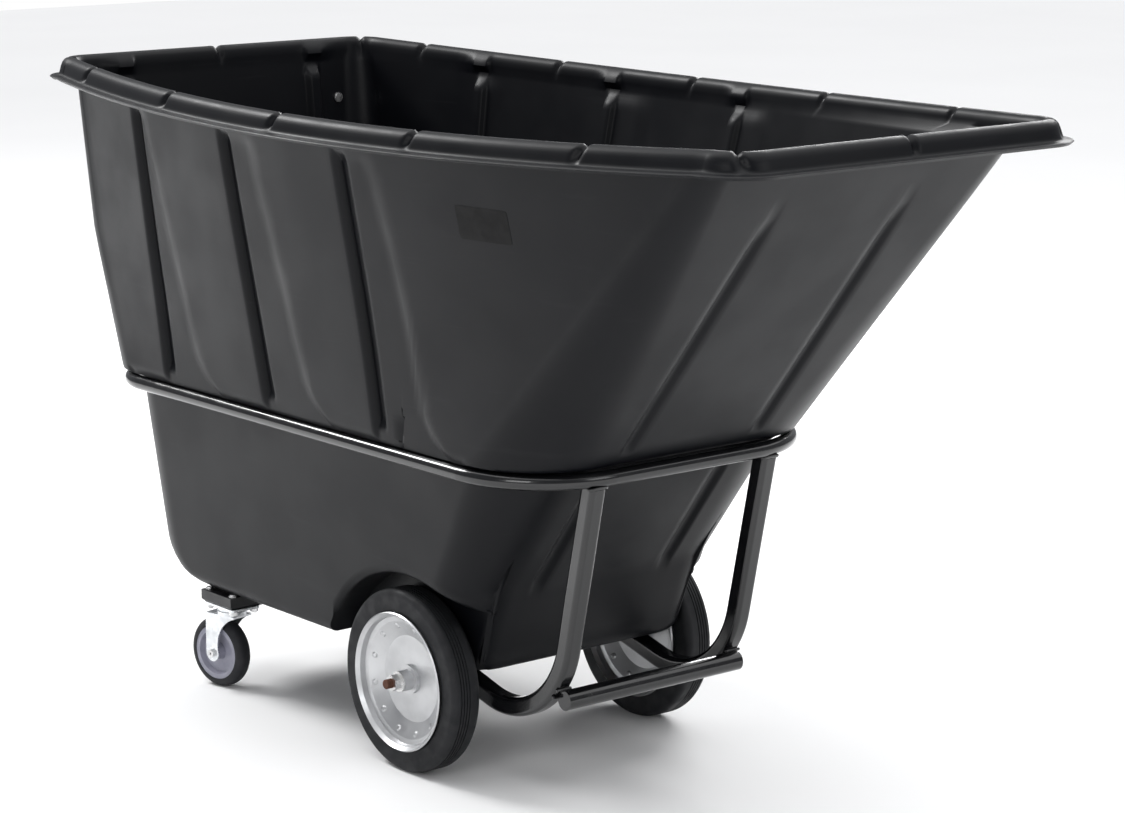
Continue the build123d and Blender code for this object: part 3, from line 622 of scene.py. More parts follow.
def clustered(part: Part, knots: Sequence[tuple[Sequence[float], int]], tail: int) -> list[Station]:
    """Spread upright lines along one stretch, close together about its knots.

    Args:
        part: The stretch.
        knots: For each knot, the offsets of the lines about it and the number of faces to the next.
        tail: Faces after the last knot's lines, up to the end of the stretch.

    Returns:
        The lines in order, without the stretch's last one.
    """
    lines: list[Station] = []
    for index, (offsets, gaps) in enumerate(knots):
        lines += [Station(part, index, offset, index, offset, 0.0) for offset in offsets]
        after = offsets[-1] if offsets else 0.0
        following = knots[index + 1][0] if index + 1 < len(knots) else []
        before = following[0] if following else 0.0
        faces = gaps if index + 1 < len(knots) else tail
        lines += [Station(part, index, after, index + 1, before, (step + 1) / faces)
                  for step in range(faces - 1)]
    return lines


@dataclass
class TubShape:
    """The tub's sizes, and the points of its surfaces."""

    axle_x: float
    axle_z: float
    wall: float = 0.006
    belt_z: float = 0.558
    shoulder_z: float = 0.800
    eave_z: float = 1.066
    crest_z: float = 1.104
    sag: float = 0.019
    sag_from: float = 0.700
    floor_z: float = 0.184
    floor_round: float = 0.025
    heel_rise: float = 0.078
    heel_run: float = 0.110
    arch_radius: float = 0.2676
    arch_forward: float = 0.020
    arch_drop: float = 0.0864
    arch_inner_y: float = 0.208
    channel_depth: float = 0.0085
    channel_half: float = 0.0135
    panel_rise: float = 0.0048
    channel_low: float = 0.590
    channel_high: float = 1.050
    rear_channel_y: float = 0.200
    groove_y: float = 0.134
    groove_half: float = 0.011
    groove_depth: float = 0.0075
    groove_top: float = 0.968

    def __post_init__(self) -> None:
        """Work out the outlines from the axle's place."""
        x = self.axle_x
        self.belt = Ring(x - 0.816, x + 0.3835, 0.322, 0.322, 0.322, 0.092, 0.150)
        eave = Ring(x - 0.917, x + 0.7925, 0.321, 0.4235, 0.317, 0.048, 0.048)
        share = (self.shoulder_z - self.belt_z) / (self.eave_z - self.belt_z)
        self.shoulder = self.belt.blended(eave, share)
        self.shoulder.rear = x - 0.888
        self.eave = eave
        self.crest = Ring(x - 0.925, x + 0.860, 0.329, 0.4315, 0.325, 0.048, 0.048)
        self.lower_belt = Ring(x - 0.790, x + 0.3595, 0.302, 0.302, 0.302, 0.100, 0.132)
        self.floor_ring = Ring(x - 0.665, x + 0.1395, 0.262, 0.262, 0.262, 0.100, 0.080)
        self.toe_knots = [(self.floor_z + self.floor_round, x + 0.1395), (0.328, x + 0.1875),
                          (self.belt_z, x + 0.3595)]
        self.channel_heads = [x - 0.604 + 0.3295 * index for index in range(3)]
        self.channel_feet = [x - 0.596 + 0.3095 * index for index in range(3)]
        self.notches = [x + place for place in (-0.757, -0.417, -0.076, 0.263, 0.601)]
        self.arch_x = x + self.arch_forward
        self.arch_z = self.axle_z - self.arch_drop

    # ------------------------------------------------------------ outlines by height
    def upper_ring(self, z: float) -> Ring:
        """Return the wall's outer outline above the belt."""
        if z < self.shoulder_z:
            return self.belt.blended(self.shoulder, (z - self.belt_z) / (self.shoulder_z - self.belt_z))
        return self.shoulder.blended(self.eave, (z - self.shoulder_z) / (self.eave_z - self.shoulder_z))

    def lower_ring(self, z: float) -> Ring:
        """Return the wall's outer outline below the belt, with its rounded heel and floor edge."""
        edge_z = self.floor_z + self.floor_round
        share = (max(z, edge_z) - edge_z) / (self.belt_z - edge_z)
        ring = self.floor_ring.blended(self.lower_belt, share)
        ring.front = along(self.toe_knots, max(z, edge_z))
        heel_z = self.floor_z + self.heel_rise
        if z < heel_z:
            lift = clamp(1.0 - (z - self.floor_z) / self.heel_rise)
            ring.rear = self.axle_x - 0.665 - self.heel_run * math.sqrt(max(1.0 - lift * lift, 0.0))
        else:
            ring.rear = mix(self.axle_x - 0.775, self.lower_belt.rear, (z - heel_z) / (self.belt_z - heel_z))
        below = max(edge_z - z, 0.0)
        tuck = self.floor_round - math.sqrt(max(self.floor_round**2 - below**2, 0.0))
        ring.half_rear -= tuck
        ring.half_middle -= tuck
        ring.half_front -= tuck
        ring.front -= tuck / 2
        return ring

    # ------------------------------------------------------------ stations
    def flank_knots(self, z: float, ring: Ring) -> list[float]:
        """Return the lengths of the side's knots at a height: notches and channels, ends included."""
        up = (z - self.belt_z) / (self.crest_z - self.belt_z)
        heads = self.channel_heads
        feet = self.channel_feet
        channels = [mix(foot, head, up) for foot, head in zip(feet, heads)]
        notch_feet = [feet[0] - 0.062, (feet[0] + feet[1]) / 2, (feet[1] + feet[2]) / 2,
                      feet[2] + 0.072, feet[2] + 0.142]
        marks = [mix(foot, head, up) for foot, head in zip(notch_feet, self.notches)]
        return [ring.flank_start(), marks[0], channels[0], marks[1], channels[1], marks[2], channels[2],
                marks[3], marks[4], ring.flank_end()]

    def outline_point(self, station: Station, ring: Ring, z: float) -> tuple[float, float, float, float]:
        """Return the point and outward direction of a station on an outline, on the left half.

        Args:
            station: The upright line.
            ring: The outline.
            z: The height, which places the side's knots.

        Returns:
            x, y and the outward direction's x and y.
        """
        if station.part is Part.FLANK:
            knots = self.flank_knots(z, ring)
            x = mix(knots[station.knot_a] + station.offset_a, knots[station.knot_b] + station.offset_b,
                    station.share)
            direction = Vector((-ring.flank_slope(x), 1.0)).normalized()
            return x, ring.flank_half(x), direction.x, direction.y
        if station.part in (Part.REAR, Part.FRONT):
            rear = station.part is Part.REAR
            half = (ring.half_rear - ring.corner_rear) if rear else (ring.half_front - ring.corner_front)
            mark = self.rear_channel_y if rear else self.groove_y
            knots = [0.0, mark, half] if rear else [half, mark, 0.0]
            y = mix(knots[station.knot_a] + station.offset_a, knots[station.knot_b] + station.offset_b,
                    station.share)
            return (ring.rear, y, -1.0, 0.0) if rear else (ring.front, y, 1.0, 0.0)
        if station.part is Part.REAR_CORNER:
            angle = math.pi - station.share * math.pi / 2
            radius = ring.corner_rear
            center = (ring.rear + radius, ring.half_rear - radius)
        else:
            angle = math.pi / 2 - station.share * math.pi / 2
            radius = ring.corner_front
            center = (ring.front - radius, ring.half_front - radius)
        x = center[0] + radius * math.cos(angle)
        y = center[1] + radius * math.sin(angle)
        return x, y, math.cos(angle), math.sin(angle)

    # ------------------------------------------------------------ relief
    def side_relief(self, x: float, z: float) -> float:
        """Return how far the side's face lies below its panels, for the channels and panel edges.

        Args:
            x: Length along the truck.
            z: Height.

        Returns:
            A depth in metres, 0 on the panels.
        """
        up = (z - self.belt_z) / (self.crest_z - self.belt_z)
        rise = clamp((z - self.belt_z) / (self.eave_z - self.belt_z))
        channels = [mix(foot, head, up) for foot, head in zip(self.channel_feet, self.channel_heads)]
        gaps = ((0.028, 0.100), (0.076, 0.119), (0.070, 0.116))
        ends = smooth(self.channel_low - 0.012, self.channel_low + 0.012, z)
        ends *= smooth(self.channel_high + 0.010, self.channel_high - 0.012, z)
        groove = 0.0
        recess = 0.0
        for index, channel in enumerate(channels):
            reach = abs(x - channel)
            groove = max(groove, smooth(self.channel_half + 0.004, self.channel_half - 0.005, reach) * ends)
            top_gap, low_gap = gaps[index]
            edge = channel + mix(low_gap, top_gap, rise**1.6)
            edge += 0.085 * math.exp(-max(z - 0.560, 0.0) / 0.028)
            left = smooth(channel - self.channel_half - 0.004, channel - self.channel_half + 0.005, x)
            right = smooth(edge + 0.007, edge - 0.007, x)
            recess = max(recess, left * right)
        foot = smooth(self.belt_z + 0.019, self.belt_z + 0.005, z)
        fade = smooth(self.eave_z + 0.004, self.eave_z - 0.030, z)
        wide = max(recess, foot * smooth(channels[2] + 0.26, channels[2] + 0.16, x)) * fade
        return groove * self.channel_depth + wide * self.panel_rise

    def end_relief(self, part: Part, y: float, z: float) -> float:
        """Return the depth of the rear wall's channels or the dump face's grooves."""
        if part is Part.REAR:
            ends = smooth(self.channel_low - 0.012, self.channel_low + 0.012, z)
            ends *= smooth(self.channel_high + 0.010, self.channel_high - 0.012, z)
            reach = abs(y - self.rear_channel_y)
            depth = smooth(self.channel_half + 0.004, self.channel_half - 0.005, reach)
            return (self.channel_depth + self.panel_rise) * depth * ends
        ends = smooth(self.belt_z + 0.022, self.belt_z + 0.045, z)
        head = smooth(self.groove_top + 0.022, self.groove_top - 0.030, z)
        width = self.groove_half * (0.55 + 0.45 * head)
        depth = smooth(width + 0.005, width - 0.006, abs(y - self.groove_y))
        return self.groove_depth * depth * ends * head

    def relief(self, station: Station, x: float, y: float, z: float) -> float:
        """Return the depth of whatever is pressed into the wall above the belt at a point."""
        if station.part is Part.FLANK:
            return self.side_relief(x, z)
        if station.part in (Part.REAR, Part.FRONT):
            return self.end_relief(station.part, y, z)
        return 0.0

    def side_face(self, x: float, z: float) -> float:
        """Return the half width of the side's outer face at a length and height."""
        return self.upper_ring(z).flank_half(x) - self.side_relief(x, z)


@dataclass
class RimPoint:
    """A point of the rim's cross section: outward from the crest line, height, and notch weights."""

    out: float
    z: float
    notch: float
    dent: float


class Tub:
    """The moulded tub: upper walls with the rolled rim, lower body with wheel arches, and label."""

    label_side_y = 0.4

    def __init__(self, shape: TubShape, dresser: Dresser) -> None:
        """Keep the shape and the finishes.

        Args:
            shape: The tub's sizes.
            dresser: The finishes.
        """
        self.shape = shape
        self.dresser = dresser

    # ------------------------------------------------------------ upper body
    def upper_stations(self) -> list[Station]:
        """Return the left half's upright lines above the belt."""
        notch = [-0.026, -0.020, -0.015, -0.011, -0.0075, -0.0045, -0.002, 0.0, 0.002, 0.0045, 0.0075,
                 0.011, 0.016, 0.024]
        channel = [-0.030, -0.022, -0.0175, -0.0145, -0.0115, -0.0085, 0.0, 0.0085, 0.0115, 0.0145,
                   0.0175, 0.022, 0.030]
        after_channel = channel + [0.045, 0.060]
        groove = [0.026, 0.016, 0.0125, 0.0095, 0.005, 0.0, -0.005, -0.0095, -0.0125, -0.016, -0.026]
        lines = clustered(Part.REAR, [([0.0, 0.002, 0.0045, 0.0075, 0.011, 0.016, 0.024], 9),
                                      (channel[1:-1], 3)], 3)
        lines += [Station(Part.REAR_CORNER, 0, 0.0, 0, 0.0, step / 24) for step in range(24)]
        gap = 7
        side = [([0.0], 4), (notch, 5), (after_channel, 6), (notch, gap), (after_channel, 6), (notch, gap),
                (after_channel, 6), (notch, 12), (notch, 8)]
        lines += clustered(Part.FLANK, side, 8)
        lines += [Station(Part.FRONT_CORNER, 0, 0.0, 0, 0.0, step / 28) for step in range(28)]
        middle = [0.026, 0.020, 0.016, 0.012, 0.009, 0.006, 0.003]
        lines += clustered(Part.FRONT, [([0.0], 5), (groove, 7), (middle, 0)], 0)
        lines.append(Station(Part.FRONT, 2, 0.0, 2, 0.0, 0.0))
        return lines

    def rim_profile(self) -> list[RimPoint]:
        """Return the rim's cross section, from inside the mouth over the crest to the flange's edge."""
        return [RimPoint(-0.0135, 1.0790, 0.15, 0.0), RimPoint(-0.0130, 1.0880, 0.45, 0.35),
                RimPoint(-0.0110, 1.0955, 0.75, 0.2), RimPoint(-0.0075, 1.1010, 0.95, 0.0),
                RimPoint(-0.0030, 1.1036, 1.0, 0.0), RimPoint(0.0015, 1.1040, 1.0, 0.0),
                RimPoint(0.0065, 1.1030, 1.0, 0.0), RimPoint(0.0110, 1.1003, 0.9, 0.15),
                RimPoint(0.0145, 1.0960, 0.72, 0.5), RimPoint(0.0170, 1.0905, 0.5, 0.9),
                RimPoint(0.0187, 1.0850, 0.3, 1.0), RimPoint(0.0202, 1.0800, 0.14, 0.6),
                RimPoint(0.0215, 1.0765, 0.04, 0.2), RimPoint(0.0235, 1.0745, 0.0, 0.0),
                RimPoint(0.0265, 1.0737, 0.0, 0.0), RimPoint(0.0315, 1.0733, 0.0, 0.0),
                RimPoint(0.0355, 1.0728, 0.0, 0.0), RimPoint(0.0370, 1.0712, 0.0, 0.0)]

    def notch_reach(self, station: Station, x: float, y: float) -> float:
        """Return the signed distance along the rim from the nearest notch, positive towards the rear."""
        shape = self.shape
        if station.part is Part.FLANK:
            nearest = min(shape.notches, key=lambda place: abs(place - x))
            return nearest - x
        if station.part in (Part.REAR, Part.FRONT):
            return -y
        share = station.share - 0.5
        return share * math.pi / 2 * shape.crest.corner_front * 1.2

    def sag_at(self, x: float, y: float, z: float) -> float:
        """Return how far the rim hangs below its ends at a point, more towards the crest."""
        shape = self.shape
        ring = shape.crest
        share = clamp((x - ring.flank_start()) / (ring.flank_end() - ring.flank_start()))
        side = smooth(0.24, 0.34, abs(y))
        up = smooth(shape.sag_from, shape.crest_z, z)
        return shape.sag * 4 * share * (1 - share) * side * up

    def wall_heights(self) -> list[float]:
        """Return the heights of the level lines on the wall above the belt."""
        shape = self.shape
        low = [0.5665, 0.570, 0.5735, 0.577, 0.581, 0.586, 0.592, 0.599, 0.607, 0.617, 0.630]
        middle = steps(low[-1], 1.020, 11)
        high = [1.030, 1.038, 1.045, 1.052, 1.059, shape.eave_z]
        return low + middle + high

    def upper_rows(self, station: Station) -> list[Point3]:
        """Return one upright line of the upper body's inner face, from the ledge to the flange's edge."""
        shape = self.shape
        points: list[Point3] = []
        ledge = [(-0.0005, 0.548), (-0.0005, 0.5595), (0.0035, 0.5632)]
        for out, z in ledge:
            x, y, nx, ny = shape.outline_point(station, shape.lower_belt, z)
            inset = shape.wall - out
            points.append((x - nx * inset, y - ny * inset, z))
        x, y, nx, ny = shape.outline_point(station, shape.belt, shape.belt_z)
        inset = shape.wall + 0.0040
        points.append((x - nx * inset, y - ny * inset, 0.5640))
        for z in self.wall_heights():
            ring = shape.upper_ring(z)
            x, y, nx, ny = shape.outline_point(station, ring, z)
            depth = shape.relief(station, x, y, z) + shape.wall
            hang = self.sag_at(x, y, z)
            points.append((x - nx * depth, y - ny * depth, z - hang))
        points += self.rim_rows(station)
        return points

    def rim_rows(self, station: Station) -> list[Point3]:
        """Return one line of the rim's cross section, with its notch and dent."""
        shape = self.shape
        points: list[Point3] = []
        for spot in self.rim_profile():
            x, y, nx, ny = shape.outline_point(station, shape.crest, shape.crest_z)
            reach = self.notch_reach(station, x, y)
            middle = station.part in (Part.REAR, Part.FRONT)
            lean = 0.0 if middle else 0.010 * clamp((shape.crest_z - spot.z) / 0.03)
            across = reach - lean
            cut = 0.0075 * max(0.0, 1.0 - abs(across) / 0.0085) * spot.notch
            dent = 0.0050 * bell(across - 0.002, 0.0065) * spot.dent
            inward = cut * (0.15 if spot.out < 0.006 else 0.65)
            if spot.out < 0:
                inward = -cut * 0.55
            rib = self.rib_head(station, x, y, spot)
            out = spot.out - inward - (dent if spot.out > 0 else -dent * 0.6) - rib
            hang = self.sag_at(x, y, shape.crest_z)
            points.append((x + nx * out, y + ny * out, spot.z - cut * 0.8 - hang))
        return points

    def rib_head(self, station: Station, x: float, y: float, spot: RimPoint) -> float:
        """Return how far a rib's flared head stands in from the inside of the rim."""
        if spot.out > -0.002:
            return 0.0
        shape = self.shape
        if station.part is Part.FLANK:
            reach = min((x - head for head in shape.channel_heads), key=abs)
        elif station.part is Part.REAR:
            reach = shape.rear_channel_y - y
        else:
            return 0.0
        flare = smooth(-0.040, -0.022, reach) * smooth(0.020, 0.010, reach)
        low = smooth(1.100, 1.082, spot.z)
        return 0.0075 * flare * low

    def mirrored_sheet(self, name: str, lines: Sequence[Sequence[Point3]]) -> bpy.types.Object:
        """Model a sheet that runs right round the tub from the upright lines of its left half.

        Args:
            name: The new object's name.
            lines: The left half's lines, from the middle of the rear to the middle of the front.

        Returns:
            The sheet, closed on itself but with its doubles not yet merged.
        """
        count = len(lines)
        total = 2 * (count - 1)

        def place(column: int, row: int) -> Point3:
            """Return a corner of the sheet, mirrored for the right half."""
            index = column % total
            if index < count:
                return lines[index][row]
            x, y, z = lines[total - index][row]
            return x, -y, z

        return shaped_grid(name, total, len(lines[0]) - 1, place)

    def build_upper(self) -> bpy.types.Object:
        """Model the walls above the belt and the rolled rim as one sheet, then give it its wall."""
        lines = [self.upper_rows(station) for station in self.upper_stations()]
        return self.walled(self.mirrored_sheet("tub_upper", lines), outward_thickness=True)

    # ------------------------------------------------------------ lower body
    def lower_stations(self) -> list[Station]:
        """Return the left half's upright lines below the belt."""
        lines = [Station(Part.REAR, 0, 0.0, 2, 0.0, step / 14) for step in range(14)]
        lines += [Station(Part.REAR_CORNER, 0, 0.0, 0, 0.0, step / 20) for step in range(20)]
        lines += [Station(Part.FLANK, 0, 0.0, 9, 0.0, step / 118) for step in range(118)]
        lines += [Station(Part.FRONT_CORNER, 0, 0.0, 0, 0.0, step / 30) for step in range(30)]
        groove = [0.020, 0.016, 0.0125, 0.0095, 0.005, 0.0, -0.005, -0.0095, -0.0125, -0.016, -0.026]
        lines += clustered(Part.FRONT, [([0.0], 3), (groove, 6)], 6)
        lines.append(Station(Part.FRONT, 2, 0.0, 2, 0.0, 0.0))
        return lines

    def lower_place(self, station: Station, z: float) -> Point3:
        """Return the uncut lower body's outer point on a line at a height."""
        shape = self.shape
        ring = shape.lower_ring(z)
        if station.part is Part.FLANK:
            share = station.share
            x = mix(ring.flank_start(), ring.flank_end(), share)
            return x, ring.flank_half(x), z
        x, y, nx, _ = shape.outline_point(station, ring, z)
        if station.part is Part.FRONT:
            ends = smooth(0.318, 0.345, z) * smooth(0.535, 0.505, z)
            width = smooth(shape.groove_half + 0.005, shape.groove_half - 0.006, abs(y - shape.groove_y))
            x -= nx * shape.groove_depth * ends * width
        return x, y, z

    def in_arch(self, point: Point3) -> bool:
        """Return whether a point is inside the space that the wheel arch takes."""
        shape = self.shape
        reach = math.hypot(point[0] - shape.arch_x, point[2] - shape.arch_z)
        return point[1] > shape.arch_inner_y and reach < shape.arch_radius

    def arch_entry(self, station: Station) -> float | None:
        """Return the height at which a line runs into the wheel arch, or None."""
        shape = self.shape
        heights = steps(shape.belt_z, shape.floor_z, 90)
        before = shape.belt_z
        for z in heights:
            if self.in_arch(self.lower_place(station, z)):
                inside, outside = z, before
                for _ in range(24):
                    middle = (inside + outside) / 2
                    if self.in_arch(self.lower_place(station, middle)):
                        inside = middle
                    else:
                        outside = middle
                return outside
            before = z
        return None

    def lower_rows(self, station: Station) -> list[Point3]:
        """Return one line of the lower body's outer face, from the belt to the middle of the floor."""
        shape = self.shape
        edge_z = shape.floor_z + shape.floor_round
        entry = self.arch_entry(station)
        bottom = entry if entry is not None else shape.floor_z
        lip = 0.010
        if entry is not None and entry - lip > edge_z:
            heights = [0.5605] + steps(shape.belt_z - 0.004, bottom + lip, 26)
            path = [self.lower_place(station, z) for z in heights]
            inner = (path[-1][0], shape.arch_inner_y, bottom)
            side_x, side_y, _ = self.lower_place(station, bottom)
            for angle in (22.5, 45.0, 67.5, 90.0):
                turn = math.radians(angle)
                z = bottom + lip * (1 - math.sin(turn))
                path.append((side_x, side_y - lip * (1 - math.cos(turn)), z))
        else:
            corner = max(edge_z, bottom)
            heights = [0.5605] + steps(shape.belt_z - 0.004, corner, 24)
            drop = corner - bottom
            for step in range(6):
                turn = (step + 1) / 6 * math.pi / 2
                heights.append(corner - drop * math.sin(turn))
            path = [self.lower_place(station, z) for z in heights]
            inner = (path[-1][0], shape.arch_inner_y, bottom)
        last = path[-1]
        foot = self.lower_place(station, shape.floor_z)
        if entry is None and last[1] <= shape.arch_inner_y:
            inner = (last[0], last[1], shape.floor_z)
        ceiling = [tuple(mix(last[key], inner[key], share) for key in range(3))
                   for share in steps(0.0, 1.0, 6)]
        floor_y = min(foot[1], shape.arch_inner_y)
        end = (foot[0], floor_y, shape.floor_z)
        down = [tuple(mix(inner[key], end[key], share) for key in range(3)) for share in steps(0.0, 1.0, 10)]
        middle_x = clamp(foot[0], shape.floor_ring.rear + 0.2, shape.floor_ring.front - 0.2)
        heart = (middle_x, 0.0, shape.floor_z)
        inward = [tuple(mix(end[key], heart[key], share) for key in range(3)) for share in steps(0.0, 1.0, 6)]
        return path + ceiling + down + inward

    def build_lower(self) -> bpy.types.Object:
        """Model the body below the belt as one sheet, arches and floor included, and give it its wall."""
        lines = [self.lower_rows(station) for station in self.lower_stations()]
        return self.walled(self.mirrored_sheet("tub_lower", lines), outward_thickness=False)

    def walled(self, piece: bpy.types.Object, outward_thickness: bool) -> bpy.types.Object:
        """Close a sheet's seam, point it outwards and give it the wall's thickness.

        Args:
            piece: The sheet.
            outward_thickness: True where the sheet is the inner face, False where it is the outer.

        Returns:
            The finished shell.
        """
        clean(piece, outward=True)
        middle = self.shape.axle_x - 0.2
        balance = 0.0
        for face in piece.data.polygons:
            away = Vector((face.center.x - middle, face.center.y, 0.0))
            if 0.60 < face.center.z < 0.95 or 0.36 < face.center.z < 0.5:
                balance += face.normal.dot(away) * face.area
        if balance < 0:
            piece.data.flip_normals()
        offset = 1.0 if outward_thickness else -1.0
        apply_modifier(piece, "SOLIDIFY", thickness=self.shape.wall, offset=offset)
        return smooth_by_angle(piece, 42.0)

    # ------------------------------------------------------------ label
    def build_label(self) -> bpy.types.Object:
        """Model the thin blank label that follows the right side's panel."""
        low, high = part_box("blank_label")
        radius = 0.004
        skin = 0.0006
        columns, rows = 28, 16

        def place(column: int, row: int) -> Point3:
            """Return a corner of the label on the panel, with its own corners rounded."""
            across = mix(-1.0, 1.0, column / columns)
            up = mix(-1.0, 1.0, row / rows)
            half_x = (high.x - low.x) / 2
            half_z = (high.z - low.z) / 2
            x = across * half_x
            z = up * half_z
            over_x = max(abs(x) - (half_x - radius), 0.0)
            over_z = max(abs(z) - (half_z - radius), 0.0)
            over = math.hypot(over_x, over_z)
            if over > radius:
                x -= math.copysign(over_x * (1 - radius / over), x)
                z -= math.copysign(over_z * (1 - radius / over), z)
            x += (low.x + high.x) / 2
            z += (low.z + high.z) / 2
            hang = self.sag_at(x, self.label_side_y, z)
            return x, -self.shape.side_face(x, z + hang) - skin, z

        piece = shaped_grid("blank_label_film", columns, rows, place)
        clean(piece, outward=False)
        if sum(face.normal.y for face in piece.data.polygons) > 0:
            piece.data.flip_normals()
        apply_modifier(piece, "SOLIDIFY", thickness=0.0009, offset=-1.0)
        return smooth_by_angle(piece, 50.0)

    def build(self) -> None:
        """Model and dress the tub's pieces."""
        self.dresser.finish(self.build_upper(), "tub_plastic", ROOT_BODY, "tub")
        self.dresser.finish(self.build_lower(), "tub_plastic", ROOT_BODY)
        self.dresser.finish(self.build_label(), "label_plate", ROOT_BODY, "blank_label")


# ================================================================ frame welds
@dataclass
class FrameWelds:
    """The weld beads that join each leg to the hoop above and to the bumper bar below."""

    dresser: Dresser
    axle_x: float
    leg_y: float = 0.178
    leg_top: float = 0.3805
    leg_half: float = 0.0155
    leg_lean: float = 12.4
    leg_rise: float = 14.8
    bend: float = 0.160
    rear_end: Point2 = (0.025, 0.1675)
    bead: float = 0.0028
    ripple_count: int = 34

    def collar(self, side: Side) -> bpy.types.Object:
        """Model the bead round a leg's top, hugging the underside of the hoop."""
        low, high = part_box("hoop_tube")
        radius = (high.z - low.z) / 2
        center_z = (high.z + low.z) / 2
        hoop_x = high.x - radius
        top = Vector((self.axle_x + self.leg_top, side.value * self.leg_y, center_z - radius))
        deselect_all()
        bpy.ops.mesh.primitive_torus_add(major_segments=96, minor_segments=10, major_radius=1.0,
                                         minor_radius=0.1, location=(0.0, 0.0, 0.0))
        piece = named(f"weld_collar_{side.word}")
        for vertex in piece.data.vertices:
            turn = math.atan2(vertex.co.y, vertex.co.x)
            out = math.hypot(vertex.co.x, vertex.co.y) - 1.0
            size = (abs(math.cos(turn)) ** 5 + abs(math.sin(turn)) ** 5) ** -0.2
            swell = 1.0 + 0.10 * math.sin(turn * self.ripple_count)
            reach = self.leg_half * size + (out * 10.0 * swell + 0.15) * self.bead
            x = top.x + math.cos(turn) * reach
            across = min(abs(x - hoop_x), radius * 0.97)
            z = center_z - math.sqrt(radius**2 - across**2) - 0.0012 + vertex.co.z * 10.0 * self.bead * swell
            vertex.co = (x, top.y + math.sin(turn) * reach, z)
        return smooth_by_angle(piece, 60.0)

    def bend_center(self) -> Point2:
        """Return the x and z of the middle of a leg's bend."""
        low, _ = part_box("hoop_tube")
        lean = math.tan(math.radians(self.leg_lean))
        rise = math.tan(math.radians(self.leg_rise))
        top_x = self.axle_x + self.leg_top
        end_x = self.axle_x + self.rear_end[0]
        corner_z = (self.rear_end[1] - rise * (top_x - lean * low.z - end_x)) / (1.0 + rise * lean)
        corner_x = top_x - lean * (low.z - corner_z)
        up = Vector((math.sin(math.radians(self.leg_lean)), math.cos(math.radians(self.leg_lean))))
        back = Vector((-math.cos(math.radians(self.leg_rise)), math.sin(math.radians(self.leg_rise))))
        reach = self.bend / math.sin(up.angle(back) / 2.0)
        middle = (up + back).normalized() * reach
        return corner_x + middle.x, corner_z + middle.y

    def fillets(self, side: Side) -> bpy.types.Object:
        """Model the two short beads where the bumper bar lies on a leg's bend."""
        low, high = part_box("bumper_bar")
        bar = Vector(((low.x + high.x) / 2, (low.z + high.z) / 2))
        away = bar - Vector(self.bend_center())
        away.normalize()
        contact = bar - away * (high.z - low.z) / 2
        tangent = Vector((-away.y, away.x))
        beads = []
        for sign in (-1.0, 1.0):
            spot = contact + tangent * sign * 0.0085 + away * 0.0008
            deselect_all()
            bpy.ops.mesh.primitive_cylinder_add(vertices=20, radius=self.bead * 1.15,
                                                depth=self.leg_half * 1.9,
                                                location=(spot.x, side.value * self.leg_y, spot.y),
                                                rotation=(math.pi / 2, 0.0, 0.0))
            bead = settle(named("weld_part"))
            beads.append(soften(bead, self.bead * 0.5, 3))
        return joined(f"weld_fillets_{side.word}", beads)

    def build(self) -> None:
        """Model and dress the beads on both sides."""
        for side in Side:
            self.dresser.finish(self.collar(side), "frame_paint", ROOT_BODY)
            self.dresser.finish(self.fillets(side), "frame_paint", ROOT_BODY)


# ================================================================ studio
@dataclass
class SoftBox:
    """A large soft light."""

    name: str
    place: Point3
    target: Point3
    width: float
    height: float
    power: float
    colour: Point3 = (1.0, 1.0, 1.0)

    def build(self) -> None:
        """Add the light, aimed at its target."""
        data = bpy.data.lights.new(self.name, "AREA")
        data.shape = "RECTANGLE"
        data.size = self.width
        data.size_y = self.height
        data.energy = self.power
        data.color = self.colour
        light = bpy.data.objects.new(self.name, data)
        bpy.context.scene.collection.objects.link(light)
        light.location = self.place
        aim = Vector(self.target) - Vector(self.place)
        light.rotation_euler = aim.to_track_quat("-Z", "Y").to_euler()


@dataclass
class EvenSky:
    """A wide, even light from straight above, which keeps the far floor as pale as the near floor."""

    strength: float = 2.3
    spread_degrees: float = 100.0
    lean_degrees: float = 12.0

    def build(self) -> None:
        """Add the light."""
        data = bpy.data.lights.new("even_sky", "SUN")
        data.energy = self.strength
        data.angle = math.radians(self.spread_degrees)
        light = bpy.data.objects.new("even_sky", data)
        bpy.context.scene.collection.objects.link(light)
        light.rotation_euler = (math.radians(-self.lean_degrees), 0.0, 0.0)


